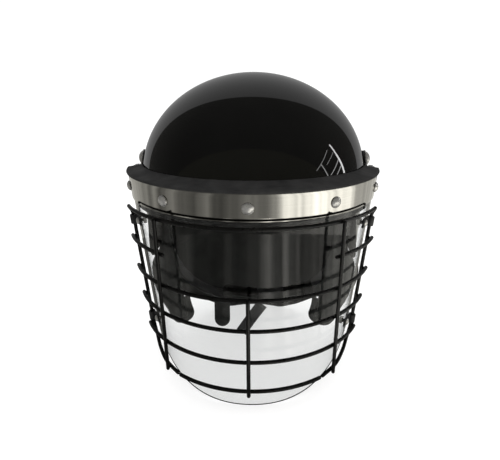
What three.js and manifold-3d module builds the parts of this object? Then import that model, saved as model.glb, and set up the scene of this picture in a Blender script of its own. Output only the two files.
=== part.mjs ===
// A public-order helmet with a hinged clear visor and a welded wire face guard, in millimetres.
// +Z is up, -Y is the wearer's front, and X runs from side to side. Every shape is first given in the
// visor's own frame, whose origin is on the axis of the visor's cone, level with the steel band's lower
// edge. The last lines move the whole helmet so that its origin is the middle of its footprint.

import * as THREE from "three";
import Module from "manifold-3d";
import { mergeVertices } from "three/addons/utils/BufferGeometryUtils.js";

const wasm = await Module();
wasm.setup();

// ---------------------------------------------------------------- driving dimensions

const GAP = 0.3; // clearance between parts that touch
const BASE = -184; // height that the visor and the neck guard stand on

// Outer shell: an ellipsoid above its widest level, then walls that draw in slowly.
const SHELL = { width: 116, length: 134.2, height: 101.4, middle: 20, widest: 18.4, wall: 4 };
const SHELL_SIDE_DRAW = 380; // larger is straighter, seen from the front
const SHELL_REAR_DRAW = 230; // larger is straighter, seen from the side
const LINER_THICKNESS = 22;
const PAD_THICKNESS = 8;

// Visor: a cone that narrows downwards.
const VISOR_RADIUS = 120.6; // middle of the sheet at height 0
const CONE_TAPER = 0.1205; // radius gained for each millimetre of height
const VISOR_THICKNESS = 3;
const MM_PER_DEGREE = (VISOR_RADIUS * Math.PI) / 180;
const VISOR_END = 94.75; // the sheet runs straight back for the degrees past 90
const BAND_HEIGHT = 24;
const BAND_THICKNESS = 1;

// Wire face guard. Offsets are from the middle of the visor's sheet to the middle of the wire.
const WIRE = 3.5;
const CROSS_OFFSET = 9.5; // wires that run from side to side
const SIDE_OFFSET = CROSS_OFFSET - WIRE - GAP; // upright part of the frame wire, inside the others
const BAR_OFFSET = CROSS_OFFSET + WIRE + GAP; // upright bars, outside the others
const BAR_X = 78.5;
const WIRE_HEIGHTS = { top: -3.8, brow: -36.5, upper: -67.8, middle: -97.6, lower: -129.7, bottom: -161.2 };
const SIDE_ANGLE = 65; // of the frame wire's upright part

// Hinge and strap anchors, as distances back (y) and up (z).
const PIVOT = { y: 15, z: 30 };
const ANCHOR = { y: 8, z: -42 };
const RIVET_STEP = 34.8; // degrees between the band's rivets

// ---------------------------------------------------------------- small helpers

const V = (x, y, z) => new THREE.Vector3(x, y, z);
const rad = (degrees) => (degrees * Math.PI) / 180;
const lerp = THREE.MathUtils.lerp;
const steps = (count, from = 0, to = 1) =>
  Array.from({ length: count + 1 }, (_, i) => lerp(from, to, i / count));

// Reads a list of [position, value] pairs along straight runs between them.
function profile(pairs) {
  return (at) => {
    if (at <= pairs[0][0]) return pairs[0][1];
    for (let i = 1; i < pairs.length; i++)
      if (at <= pairs[i][0]) {
        const [[x0, y0], [x1, y1]] = [pairs[i - 1], pairs[i]];
        return lerp(y0, y1, (at - x0) / (x1 - x0));
      }
    return pairs.at(-1)[1];
  };
}

// A closed body from triangles of points; triangles that have collapsed are left out.
function body(triangles) {
  const position = [];
  for (const [a, b, c] of triangles)
    if (a.distanceTo(b) > 1e-4 && b.distanceTo(c) > 1e-4 && c.distanceTo(a) > 1e-4)
      position.push(...a.toArray(), ...b.toArray(), ...c.toArray());
  return new THREE.BufferGeometry().setAttribute("position", new THREE.Float32BufferAttribute(position, 3));
}

// Triangles of a grid of points, seen from its outer side.
function gridTriangles(grid) {
  const found = [];
  for (let j = 1; j < grid.length; j++)
    for (let i = 1; i < grid[j].length; i++) {
      const [a, b, c, d] = [grid[j - 1][i - 1], grid[j - 1][i], grid[j][i], grid[j][i - 1]];
      found.push([a, d, c], [a, c, b]);
    }
  return found;
}

// A sheet with thickness: the outer and inner grids have rows from top to bottom, and columns from the
// wearer's right to left as the wearer's front is looked at. A ring repeats its first column at its end.
function slab(outer, inner, ring = false) {
  const mirrored = inner.map((row) => [...row].reverse());
  const wall = (edge, other) => gridTriangles([edge, other]);
  const found = [...gridTriangles(outer), ...gridTriangles(mirrored)];
  found.push(...wall(inner[0], outer[0]), ...wall(outer.at(-1), inner.at(-1)));
  if (!ring) {
    const column = (grid, i) => grid.map((row) => row.at(i));
    found.push(...wall(column(outer, 0), column(inner, 0)), ...wall(column(inner, -1), column(outer, -1)));
  }
  return body(found);
}

// A sheet between two surfaces, each a function of (angle, share of the height).
function sheet(angles, shares, outer, inner, ring = false) {
  const grid = (surface) => shares.map((t) => angles.map((angle) => surface(angle, t)));
  return slab(grid(outer), grid(inner), ring);
}

// A closed body through a list of rings that all have the section's corners.
function loft(rings, section) {
  const found = gridTriangles(rings.map((ring) => [...ring, ring[0]]));
  const outline = section.map(([a, u]) => new THREE.Vector2(a, u));
  const clockwise = THREE.ShapeUtils.isClockWise(outline);
  for (const corners of THREE.ShapeUtils.triangulateShape(outline, [])) {
    const [a, b, c] = clockwise ? [...corners].reverse() : corners;
    found.push([rings[0][a], rings[0][b], rings[0][c]]);
    found.push([rings.at(-1)[c], rings.at(-1)[b], rings.at(-1)[a]]);
  }
  return facingOut(body(found));
}

// A section swept along a path: frames is a list of { at, across, up }, section a list of [across, up].
function sweep(frames, section) {
  const place = ({ at, across, up }) =>
    section.map(([a, u]) => at.clone().addScaledVector(across, a).addScaledVector(up, u));
  return loft(frames.map(place), section);
}

// Frames along a list of points; up is the reference direction at each point.
function framesAlong(points, upAt) {
  return points.map((at, i) => {
    const [before, after] = [points[Math.max(i - 1, 0)], points[Math.min(i + 1, points.length - 1)]];
    const along = after.clone().sub(before).normalize();
    const across = along.clone().cross(upAt(at, i)).normalize();
    return { at, across, up: across.clone().cross(along).normalize() };
  });
}

const roundSection = (radius, sides = 8) =>
  steps(sides, 0, 2 * Math.PI).slice(1).map((a) => [radius * Math.cos(a), radius * Math.sin(a)]);

const awayFromAxis = (p) => V(p.x, p.y, 0).normalize();
const wire = (points, radius = WIRE / 2) => sweep(framesAlong(points, awayFromAxis), roundSection(radius));

// manifold-3d: a geometry as a solid, and back.
function solid(geometry) {
  const bare = loose(geometry);
  for (const name of Object.keys(bare.attributes)) if (name !== "position") bare.deleteAttribute(name);
  const merged = mergeVertices(bare, 1e-3);
  return new wasm.Manifold(
    new wasm.Mesh({
      numProp: 3,
      vertProperties: merged.attributes.position.array,
      triVerts: new Uint32Array(merged.index.array),
    }),
  );
}

function geometryOf(manifold) {
  const mesh = manifold.getMesh();
  return new THREE.BufferGeometry()
    .setAttribute("position", new THREE.BufferAttribute(new Float32Array(mesh.vertProperties), 3))
    .setIndex(new THREE.BufferAttribute(new Uint32Array(mesh.triVerts), 1));
}

const without = (geometry, cutters) =>
  geometryOf(cutters.reduce((left, cutter) => left.subtract(solid(cutter)), solid(geometry)));
const joined = (first, ...others) =>
  geometryOf(others.reduce((all, other) => all.add(solid(other)), solid(first)));

// Turns a body whose faces all point inwards.
function facingOut(geometry) {
  const p = geometry.getAttribute("position");
  let volume = 0;
  for (let i = 0; i < p.count; i += 3) {
    const [a, b, c] = [0, 1, 2].map((k) => V().fromBufferAttribute(p, i + k));
    volume += a.dot(b.cross(c));
  }
  if (volume < 0)
    for (let i = 0; i < p.count; i += 3) {
      const a = V().fromBufferAttribute(p, i);
      const b = V().fromBufferAttribute(p, i + 1);
      p.setXYZ(i, b.x, b.y, b.z);
      p.setXYZ(i + 1, a.x, a.y, a.z);
    }
  return geometry;
}

const loose = (geometry) => (geometry.index ? geometry.toNonIndexed() : geometry.clone());
const mirrorX = (geometry) => facingOut(loose(geometry).scale(-1, 1, 1));

// A turned part: the profile is [radius, height] from axis to axis, its height along `out` from `at`.
function turned(points, at, out, segments = 12) {
  const geometry = new THREE.LatheGeometry(points.map(([r, h]) => new THREE.Vector2(r, h)), segments);
  const turn = new THREE.Quaternion().setFromUnitVectors(V(0, 1, 0), out.clone().normalize());
  return facingOut(geometry.toNonIndexed().applyQuaternion(turn).translate(at.x, at.y, at.z));
}
const pin = (radius, at, out, reach, segments = 10) =>
  turned([[0, -reach], [radius, -reach], [radius, reach], [0, reach]], at, out, segments);

// ---------------------------------------------------------------- materials

const finish = (color, roughness, metalness = 0) =>
  new THREE.MeshStandardMaterial({ color, roughness, metalness });
const MATERIALS = {
  shell: finish(0x0b0b0c, 0.08),
  rubber: finish(0x1c1c1d, 0.75),
  foam: finish(0x2a2a2c, 0.95),
  mesh: finish(0x242527, 0.9),
  leather: finish(0x2a2c2b, 0.6),
  webbing: finish(0x1d1e1f, 0.85),
  buckle: finish(0x161617, 0.45),
  clear: new THREE.MeshStandardMaterial({
    color: 0xf2f5f5,
    roughness: 0.05,
    transparent: true,
    opacity: 0.2,
  }),
  steel: finish(0xb9b6ae, 0.28, 1),
  wire: finish(0x111112, 0.35),
  nylon: finish(0x0f0f10, 0.5),
};

const helmet = new THREE.Group();
function add(name, geometry, material) {
  const mesh = new THREE.Mesh(geometry, MATERIALS[material]);
  mesh.name = name;
  helmet.add(mesh);
}
const SIDES = [1, -1]; // right and left, as the helmet's front is looked at
const pair = (name, geometry, material) => {
  add(`${name}_right`, geometry, material);
  add(`${name}_left`, mirrorX(geometry), material);
};

// ---------------------------------------------------------------- surfaces

const coneRadius = (z) => VISOR_RADIUS + CONE_TAPER * z;

// A point of the visor's cone, `offset` outside the middle of its sheet; straight back past 90 degrees.
function onCone(angle, z, offset = 0) {
  const side = Math.sign(angle);
  const turn = rad(Math.min(Math.abs(angle), 90));
  const back = Math.max(Math.abs(angle) - 90, 0) * MM_PER_DEGREE;
  const r = coneRadius(z) + offset;
  return V(side * r * Math.sin(turn), -r * Math.cos(turn) + back, z);
}
function coneNormal(angle) {
  const turn = rad(Math.max(-90, Math.min(90, angle)));
  return V(Math.sin(turn), -Math.cos(turn), -CONE_TAPER).normalize();
}

// A point of the shell's outer surface drawn in by `inset`; angle 0 is the front.
function onShell(angle, z, inset = 0) {
  const { width, length, height, middle, widest } = SHELL;
  const up = z - widest;
  const share = (reach) => Math.sqrt(Math.max(0, 1 - (up / reach) ** 2));
  const kx = up > 0 ? share(height - inset) : share(SHELL_SIDE_DRAW);
  const ky = up > 0 ? kx : share(SHELL_REAR_DRAW);
  const x = (width - inset) * kx * Math.sin(rad(angle));
  return V(x, middle - (length - inset) * ky * Math.cos(rad(angle)), z);
}

// A dome under that surface, from its crown (share 0) to an edge whose height is edge(angle) (share 1).
const CROWN_SHARE = 0.62;
function dome(angle, share, inset, edge) {
  if (share > CROWN_SHARE)
    return onShell(angle, lerp(SHELL.widest, edge(angle), (share - CROWN_SHARE) / (1 - CROWN_SHARE)), inset);
  const latitude = (Math.PI / 2) * (1 - share / CROWN_SHARE);
  return onShell(angle, SHELL.widest + (SHELL.height - inset) * Math.sin(latitude), inset);
}

// The soft skirts below the shell: half width and half length at each height.
const skirtWidth = profile([
  [-184, 82], [-150, 93], [-138, 98], [-128, 102], [-110, 108.5], [-96, 111.5], [-88, 111.5],
  [-82, 107], [-78, 105], [-50, 105],
]);
const skirtRear = profile([
  [-184, 80], [-150, 98], [-120, 110], [-90, 117], [-78, 116], [-50, 116],
]);
const onSkirt = (angle, z, inset, front = skirtRear(z)) =>
  V((skirtWidth(z) - inset) * Math.sin(rad(angle)), SHELL.middle - (front - inset) * Math.cos(rad(angle)), z);

// ---------------------------------------------------------------- shell and its lining

// Height of the shell's edge: high over the face, down in front of the ears, low round the back.
const shellEdge = profile([
  [0, 6], [44, 6], [51, 3], [56, -12], [60, -36], [65, -55], [73, -65], [92, -69], [140, -71],
  [180, -72],
]);
const mirroredEdge = (edge) => (angle) => edge(Math.abs(angle > 180 ? angle - 360 : angle));
const bothSides = (angles) => [...angles, ...angles.slice(0, -1).reverse().map((a) => 360 - a)];
const ROUND_ANGLES = bothSides([0, 15, 30, 44, 51, 56, 60, 65, 75, 90, 105, 120, 135, 150, 165, 180]);
// The liner's facets share the shell's angles, so that they never cross it.
const LINER_ANGLES = bothSides([0, 15, 30, 44, 60, 75, 90, 105, 120, 135, 150, 165, 180]);
const DOME_SHARES = [...steps(8, 0, CROWN_SHARE), ...steps(4, CROWN_SHARE, 1).slice(1)];
const LINER_SHARES = [...steps(4, 0, CROWN_SHARE), ...steps(2, CROWN_SHARE, 1).slice(1)];

const alongX = V(1, 0, 0);
const SHELL_HALF = 112; // about where the side holes pass through the shell
const strapHoles = SIDES.map((side) =>
  pin(3, V(side * SHELL_HALF, ANCHOR.y, ANCHOR.z), alongX, 8, 8),
);
const pivotHoles = SIDES.map((side) =>
  pin(3.3, V(side * SHELL_HALF, PIVOT.y, PIVOT.z), alongX, 9, 8),
);
const SNAP_ANGLES = [116, 158, -158, -116];
const SNAP_HEIGHT = -60;
function shellNormal(angle, z) {
  const at = onShell(angle, z);
  const round = onShell(angle + 0.5, z).sub(at);
  return round.cross(onShell(angle, z + 0.5).sub(at)).normalize();
}
const snapHoles = SNAP_ANGLES.map((angle) =>
  pin(2.5, onShell(angle, SNAP_HEIGHT), shellNormal(angle, SNAP_HEIGHT), 24, 8),
);

function shell() {
  const edge = mirroredEdge(shellEdge);
  const blank = sheet(
    ROUND_ANGLES, DOME_SHARES,
    (angle, t) => dome(angle, t, 0, edge),
    (angle, t) => dome(angle, t, SHELL.wall, edge),
    true,
  );
  return without(facingOut(blank), [...strapHoles, ...pivotHoles, ...snapHoles]);
}

// A rubber bead under the shell's edge.
const TRIM = { gap: 0.8, below: 5, out: 1 };
function rimTrim() {
  const edge = mirroredEdge(shellEdge);
  const ring = (inset, drop) => ROUND_ANGLES.map((angle) => onShell(angle, edge(angle) - drop, inset));
  const outer = [ring(-TRIM.out, TRIM.gap), ring(-TRIM.out, TRIM.below)];
  const inner = [ring(SHELL.wall + TRIM.out, TRIM.gap), ring(SHELL.wall + TRIM.out, TRIM.below)];
  return facingOut(slab(outer, inner, true));
}

const linerEdge = profile([[0, 14], [50, 12], [75, -14], [110, -20], [140, -40], [180, -46]]);
const LINER_INSET = SHELL.wall + 0.5;
function impactLiner() {
  const edge = mirroredEdge(linerEdge);
  const blank = sheet(
    LINER_ANGLES, LINER_SHARES,
    (angle, t) => dome(angle, t, LINER_INSET, edge),
    (angle, t) => dome(angle, t, LINER_INSET + LINER_THICKNESS, edge),
    true,
  );
  const nutPockets = SIDES.map((side) =>
    pin(9, V(side * (SHELL_HALF - 2), PIVOT.y, PIVOT.z), alongX, 7),
  );
  return without(facingOut(blank), nutPockets);
}

// A padded ring at the brow, and a round pad under the crown.
const PAD_INSET = LINER_INSET + LINER_THICKNESS + 2.6; // clear of the liner's flats
const padTop = profile([[0, 44], [90, 30], [180, 8]]);
const padBottom = profile([[0, 12], [50, 10], [90, -10], [180, -32]]);
function headbandPad() {
  const [top, bottom] = [mirroredEdge(padTop), mirroredEdge(padBottom)];
  const at = (inset) => (angle, t) => onShell(angle, lerp(top(angle), bottom(angle), t), inset);
  const blank = sheet(LINER_ANGLES, steps(2), at(PAD_INSET), at(PAD_INSET + PAD_THICKNESS), true);
  return facingOut(blank);
}
const CROWN_PAD_RADIUS = 44;
function crownPad() {
  const [width, height] = [SHELL.width - PAD_INSET, SHELL.height - PAD_INSET];
  const under = (r) => SHELL.widest + height * Math.sqrt(1 - (r / width) ** 2) - 0.6;
  const radii = steps(3, 0, CROWN_PAD_RADIUS);
  const above = radii.map((r) => new THREE.Vector2(r, under(r)));
  const below = [...radii].reverse().map((r) => new THREE.Vector2(r, under(r) - PAD_THICKNESS));
  const geometry = new THREE.LatheGeometry([...above, ...below], 20);
  geometry.rotateX(Math.PI / 2);
  return facingOut(geometry.toNonIndexed().translate(0, SHELL.middle, 0));
}

// Padded leather round the neck, and a flap over each ear and cheek.
const guardBottom = profile([[104, -142], [120, -158], [140, -176], [158, BASE], [180, BASE]]);
const GUARD_TOP = -52;
const SKIRT_THICKNESS = 7;
function neckGuard() {
  const bottom = mirroredEdge(guardBottom);
  const at = (inset) => (angle, t) => onSkirt(angle, lerp(GUARD_TOP, bottom(angle), t), inset);
  const blank = sheet(steps(16, 104, 256), steps(6), at(0), at(SKIRT_THICKNESS));
  return without(facingOut(blank), snapHoles);
}
const flapTop = profile([[31, -97], [37, -78], [44, -58], [50, -38], [55, -28], [60, -40], [66, -52]]);
const flapBottom = profile([
  [31, -109], [34, -119], [40, -128], [48, -135], [56, -139], [64, -140], [74, -138], [86, -132],
  [101, -122],
]);
const flapFront = profile([[-143, 90], [-110, 98], [-80, 108], [-52, 112]]); // half length before the ear
const FLAP_ANGLES = [31, 34, 38, 42, 46, 50, 55, 60, 66, 74, 82, 90, 96, 101];
function earFlap() {
  const at = (inset) => (angle, t) => {
    const z = lerp(flapTop(angle), flapBottom(angle), t);
    return onSkirt(angle, z, inset, angle < 90 ? flapFront(z) : skirtRear(z));
  };
  return facingOut(sheet(FLAP_ANGLES, steps(5), at(0), at(SKIRT_THICKNESS)));
}

const SNAP_CAP = [[5.6, 0], [5.2, 1.6], [3.4, 2.9], [0, 3.4]];
const RIVET_HEAD = [[5, 0], [4.6, 1.5], [2.9, 2.7], [0, 3.1]];
const lifted = (points, height) => points.map(([r, h]) => [r, h + height]);
function neckSnap(angle) {
  const at = onShell(angle, SNAP_HEIGHT);
  const shank = at.distanceTo(onSkirt(angle, SNAP_HEIGHT, SKIRT_THICKNESS)) + 1.6;
  const points = [
    [0, -shank - 1.4], [4.5, -shank - 1.4], [4.5, -shank], [2, -shank], [2, GAP],
    ...lifted(SNAP_CAP, GAP),
  ];
  return turned(points, at, shellNormal(angle, SNAP_HEIGHT));
}

add("shell", shell(), "shell");
add("shell_rim_trim", rimTrim(), "rubber");
add("impact_liner", impactLiner(), "foam");
add("headband_pad", headbandPad(), "mesh");
add("crown_pad", crownPad(), "mesh");
add("neck_guard", neckGuard(), "leather");
pair("ear_flap", earFlap(), "leather");
SNAP_ANGLES.forEach((angle, i) => add(`neck_snap_${i + 1}`, neckSnap(angle), "steel"));

// ---------------------------------------------------------------- visor, band and brow seal

// The visor's outline, as rows of [angle of the side edge, height there, height in the middle].
const VISOR_ROWS = [
  [VISOR_END, 24, 24], [VISOR_END, 0, 0], [VISOR_END - 0.6, -4, -9], [84, -7, -28], [75, -11, -40],
  [69.5, -20, -52], [68, -50, -80], [68, -104, -122], [66.6, -126, -142], [63, -142, -158],
  [57, -154, -171], [50, -163, BASE],
];
const ROW_BEND = 2.6; // how late each row turns up towards its ends
const ARC = steps(20, -90, 90);
const BAND_ANGLES = [-VISOR_END, ...ARC, VISOR_END];
const bandRivetAngles = steps(4, -2 * RIVET_STEP, 2 * RIVET_STEP);
const bandRivetHoles = bandRivetAngles.map((angle) =>
  pin(2.3, onCone(angle, BAND_HEIGHT / 2), coneNormal(angle), 12, 8),
);
const ARM_RIVET = { y: 3, z: 13 };
const armRivetHoles = SIDES.map((side) =>
  pin(2.2, V(side * VISOR_RADIUS, ARM_RIVET.y, ARM_RIVET.z), alongX, 10, 8),
);
const CLIPS = [
  { row: "upper", angle: 60.5, z: -18.5 },
  { row: "lower", angle: 60, z: -122.3 },
];
const clipHoles = CLIPS.flatMap(({ angle, z }) =>
  SIDES.map((side) => pin(1.9, onCone(side * angle, z), coneNormal(side * angle), 8, 8)),
);

function visor() {
  const shares = BAND_ANGLES.map((angle) => angle / VISOR_END);
  const surface = (offset) =>
    VISOR_ROWS.map(([end, side, middle]) =>
      shares.map((u) => onCone(end * u, lerp(middle, side, Math.abs(u) ** ROW_BEND), offset)),
    );
  const blank = slab(surface(VISOR_THICKNESS / 2), surface(-VISOR_THICKNESS / 2));
  return without(facingOut(blank), [...bandRivetHoles, ...armRivetHoles, ...clipHoles]);
}

const BAND_INNER = VISOR_THICKNESS / 2 + GAP;
function visorBand() {
  const at = (offset) => (angle, t) => onCone(angle, lerp(BAND_HEIGHT, 0, t), offset);
  const blank = sheet(BAND_ANGLES, [0, 1], at(BAND_INNER + BAND_THICKNESS), at(BAND_INNER));
  return without(facingOut(blank), [...bandRivetHoles, ...armRivetHoles]);
}

// The seal: a leg behind the visor, a lip over the band, and a wing that slopes up to the shell.
const SEAL = {
  end: 81,
  legInner: -3.9,
  legOuter: -1.5 - GAP,
  legBottom: -5.5,
  lipFront: 5.6,
  lipSide: 3.4,
  wingRiseFront: 8,
  wingRiseSide: 4.2,
  wingThickness: 2.2,
};
function browSeal() {
  const top = BAND_HEIGHT + GAP;
  const toShell = (angle, z) => radiusOfShell(angle, z) + 0.5 - coneRadius(z);
  const section = (angle) => {
    const aside = (angle / SEAL.end) ** 2;
    const lip = lerp(SEAL.lipFront, SEAL.lipSide, aside);
    const wing = top + lerp(SEAL.wingRiseFront, SEAL.wingRiseSide, aside);
    const wingLow = wing - SEAL.wingThickness;
    return [
      [SEAL.legOuter, SEAL.legBottom], [SEAL.legOuter, top], [lip, top], [lip, top + 1.8],
      [toShell(angle, wing), wing], [toShell(angle, wingLow), wingLow],
      [SEAL.legInner, top - 1], [SEAL.legInner, SEAL.legBottom],
    ];
  };
  const angles = ARC.filter((a) => Math.abs(a) <= SEAL.end);
  const rings = angles.map((angle) => section(angle).map(([offset, z]) => onCone(angle, z, offset)));
  return without(loft(rings, section(0)), bandRivetHoles);
}

// Distance from the cone's axis to the shell, level with z.
function radiusOfShell(angle, z) {
  const [side, front] = [onShell(90, z).x, onShell(0, z).y];
  const length = SHELL.middle - front;
  let [low, high] = [60, 160];
  for (let i = 0; i < 40; i++) {
    const r = (low + high) / 2;
    const [x, y] = [r * Math.sin(rad(angle)), -r * Math.cos(rad(angle))];
    if ((x / side) ** 2 + ((y - SHELL.middle) / length) ** 2 > 1) high = r;
    else low = r;
  }
  return low;
}

function bandRivet(angle) {
  const [outer, inner] = [BAND_INNER + BAND_THICKNESS + GAP, SEAL.legInner - 3 * GAP];
  const points = [
    [0, inner - 0.8], [3.6, inner - 0.8], [3.6, inner], [1.9, inner], [1.9, outer],
    ...lifted(RIVET_HEAD, outer),
  ];
  return turned(points, onCone(angle, BAND_HEIGHT / 2), coneNormal(angle));
}

add("visor", visor(), "clear");
add("visor_band", visorBand(), "steel");
add("brow_seal", browSeal(), "rubber");
bandRivetAngles.forEach((angle, i) => add(`band_rivet_${i + 1}`, bandRivet(angle), "steel"));

// ---------------------------------------------------------------- hinge

const ARM = { inner: 117.9, thickness: 1.4, end: 9 };
const circle = (x, y, radius) => new THREE.Path().absarc(x, y, radius, 0, 2 * Math.PI, true);
function hingeArm() {
  const [from, to] = [new THREE.Vector2(ARM_RIVET.y, ARM_RIVET.z), new THREE.Vector2(PIVOT.y, PIVOT.z)];
  const way = Math.atan2(to.y - from.y, to.x - from.x);
  const outline = new THREE.Shape();
  outline.absarc(to.x, to.y, ARM.end, way - Math.PI / 2, way + Math.PI / 2);
  outline.absarc(from.x, from.y, ARM.end - 1.5, way + Math.PI / 2, way + 1.5 * Math.PI);
  outline.holes.push(circle(to.x, to.y, 3.2), circle(from.x, from.y, 2.2));
  const options = { depth: ARM.thickness, bevelEnabled: false, curveSegments: 6 };
  const plate = new THREE.ExtrudeGeometry(outline, options);
  // The outline's x and y become the helmet's y and z, and its thickness runs along x.
  const turn = new THREE.Matrix4().makeBasis(V(0, 1, 0), V(0, 0, 1), V(1, 0, 0));
  return facingOut(plate.applyMatrix4(turn).translate(ARM.inner, 0, 0));
}

const pivotAt = V(0, PIVOT.y, PIVOT.z);
const shellAtPivot = onShell(90, PIVOT.z).x; // the shell's half width, close to the hinge
const pivotWasher = () => {
  const [low, high] = [shellAtPivot + 0.5, ARM.inner - GAP];
  return turned([[3.3, low], [8.5, low], [8.5, high], [3.3, high], [3.3, low]], pivotAt, alongX);
};
const NUT = { outer: 108.4, thickness: 3 };
function pivotScrew() {
  const seat = ARM.inner + ARM.thickness + GAP;
  const head = [[7.5, 0], [7.5, 1.8], [6, 3.4], [3.4, 4.4], [0, 4.8]];
  const end = NUT.outer - NUT.thickness - 1;
  return turned([[0, end], [2.9, end], [2.9, seat], ...lifted(head, seat)], pivotAt, alongX);
}
const pivotNut = () => {
  const [low, high] = [NUT.outer - NUT.thickness, NUT.outer];
  return turned([[3.7, low], [7, low], [7, high], [3.7, high], [3.7, low]], pivotAt, alongX, 6);
};
function armRivet() {
  const middle = onCone(90, ARM_RIVET.z).x;
  const outer = middle + BAND_INNER + BAND_THICKNESS + GAP + 0.3;
  const inner = ARM.inner - GAP;
  const points = [
    [0, inner - 0.9], [3.4, inner - 0.9], [3.4, inner], [1.9, inner], [1.9, outer],
    ...lifted(RIVET_HEAD, outer),
  ];
  return turned(points, V(0, ARM_RIVET.y, ARM_RIVET.z), alongX);
}

pair("hinge_arm", hingeArm(), "steel");
pair("pivot_washer", pivotWasher(), "nylon");
pair("pivot_screw", pivotScrew(), "steel");
pair("pivot_nut", pivotNut(), "steel");
pair("arm_rivet", armRivet(), "steel");

// ---------------------------------------------------------------- wire face guard

const { top, brow, upper, middle, lower, bottom } = WIRE_HEIGHTS;
const crossWire = (z, from, to, count) =>
  wire(steps(count, from, to).map((angle) => onCone(angle, z, CROSS_OFFSET)));
const CORNER_ANGLE = 60; // where the frame wire leaves the top run
const FOOT_ANGLE = 37; // where it joins the bottom run
const END_ANGLE = 67.6; // loose ends of the cross wires

function sideWire() {
  const route = [
    [CORNER_ANGLE + 0.3, top, CROSS_OFFSET], [62.6, top - 0.8, CROSS_OFFSET - 0.6],
    [64.5, top - 4, CROSS_OFFSET - 2], [SIDE_ANGLE, top - 10, SIDE_OFFSET],
    [SIDE_ANGLE, brow, SIDE_OFFSET], [SIDE_ANGLE, upper, SIDE_OFFSET],
    [SIDE_ANGLE, middle, SIDE_OFFSET], [SIDE_ANGLE, -128, SIDE_OFFSET], [64, -134, SIDE_OFFSET],
    [61, -142, SIDE_OFFSET], [55.5, -149.5, SIDE_OFFSET + 1.6], [47.5, -156.5, CROSS_OFFSET - 0.4],
    [FOOT_ANGLE + 0.3, bottom, CROSS_OFFSET],
  ];
  return wire(route.map(([angle, z, offset]) => onCone(angle, z, offset)));
}
function uprightBar(x, from, to, count = 5) {
  const at = (z) => V(x, -Math.sqrt((coneRadius(z) + BAR_OFFSET) ** 2 - x * x), z);
  return wire(steps(count, from, to).map(at));
}

add("guard_top_wire", crossWire(top, -CORNER_ANGLE, CORNER_ANGLE, 16), "wire");
add("guard_upper_wire", crossWire(upper, -END_ANGLE, END_ANGLE, 16), "wire");
add("guard_middle_wire", crossWire(middle, -END_ANGLE, END_ANGLE, 16), "wire");
add("guard_lower_wire", crossWire(lower, 2.5 - END_ANGLE, END_ANGLE - 2.5, 16), "wire");
add("guard_bottom_wire", crossWire(bottom, -FOOT_ANGLE, FOOT_ANGLE, 12), "wire");
pair("guard_brow_wire", crossWire(brow, 35.5, END_ANGLE, 5), "wire");
pair("guard_side_wire", sideWire(), "wire");
pair("guard_side_bar", uprightBar(BAR_X, top + 2, bottom + 1), "wire");
add("guard_centre_bar", uprightBar(0, upper + 2, bottom - 3.5, 3), "wire");

// A clip bends round the frame wire's upright part and is bolted to the visor beside it.
const CLIP = { depth: 9, plate: 1.4, foot: 4.6, ringInner: WIRE / 2 + GAP, ringOuter: WIRE / 2 + GAP + 1.3 };
function guardClip({ angle, z }) {
  const seat = onCone(angle, z, VISOR_THICKNESS / 2 + GAP);
  const out = coneNormal(angle);
  const up = V(0, 0, 1).addScaledVector(out, -out.z).normalize();
  const rearward = up.clone().cross(out).normalize();
  const toWire = onCone(SIDE_ANGLE, z, SIDE_OFFSET).sub(seat);
  const [wx, wy] = [toWire.dot(rearward), toWire.dot(out)];
  const ring = new THREE.Shape().absarc(wx, wy, CLIP.ringOuter, 0, 2 * Math.PI);
  ring.holes.push(circle(wx, wy, CLIP.ringInner));
  const foot = new THREE.Shape(
    [
      [-CLIP.foot, 0], [wx - 2.6, 0], [wx - 2.2, wy],
      [wx - 3.1, wy], [wx - 4.4, CLIP.plate], [-CLIP.foot, CLIP.plate],
    ].map(([x, y]) => new THREE.Vector2(x, y)),
  );
  const place = new THREE.Matrix4().makeBasis(rearward, out, up.clone().negate());
  place.setPosition(seat.clone().addScaledVector(up, CLIP.depth / 2));
  const options = { depth: CLIP.depth, bevelEnabled: false, curveSegments: 7 };
  const placed = (shape) =>
    facingOut(new THREE.ExtrudeGeometry(shape, options).applyMatrix4(place));
  return without(joined(placed(ring), placed(foot)), [pin(1.9, onCone(angle, z), out, 8, 8)]);
}
function guardBolt({ angle, z }) {
  const outer = VISOR_THICKNESS / 2 + 2 * GAP + CLIP.plate;
  const inner = -VISOR_THICKNESS / 2 - 4 * GAP; // clear of the visor's flats
  const points = [
    [0, inner - 2.4], [3.6, inner - 2.4], [3.6, inner], [1.6, inner], [1.6, outer],
    [3.4, outer], [3.2, outer + 1.3], [1.9, outer + 2.1], [0, outer + 2.3],
  ];
  return turned(points, onCone(angle, z), coneNormal(angle), 10);
}
for (const clip of CLIPS) {
  pair(`guard_clip_${clip.row}`, guardClip(clip), "nylon");
  pair(`guard_bolt_${clip.row}`, guardBolt(clip), "steel");
}

// ---------------------------------------------------------------- chin strap

const STRAP = { width: 20, thickness: 1.6 };
const STRAP_X = 93.8; // the strap's top end, inside the ear flap
const LOOP_LOW = -129; // middle of the hanging loop
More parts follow.
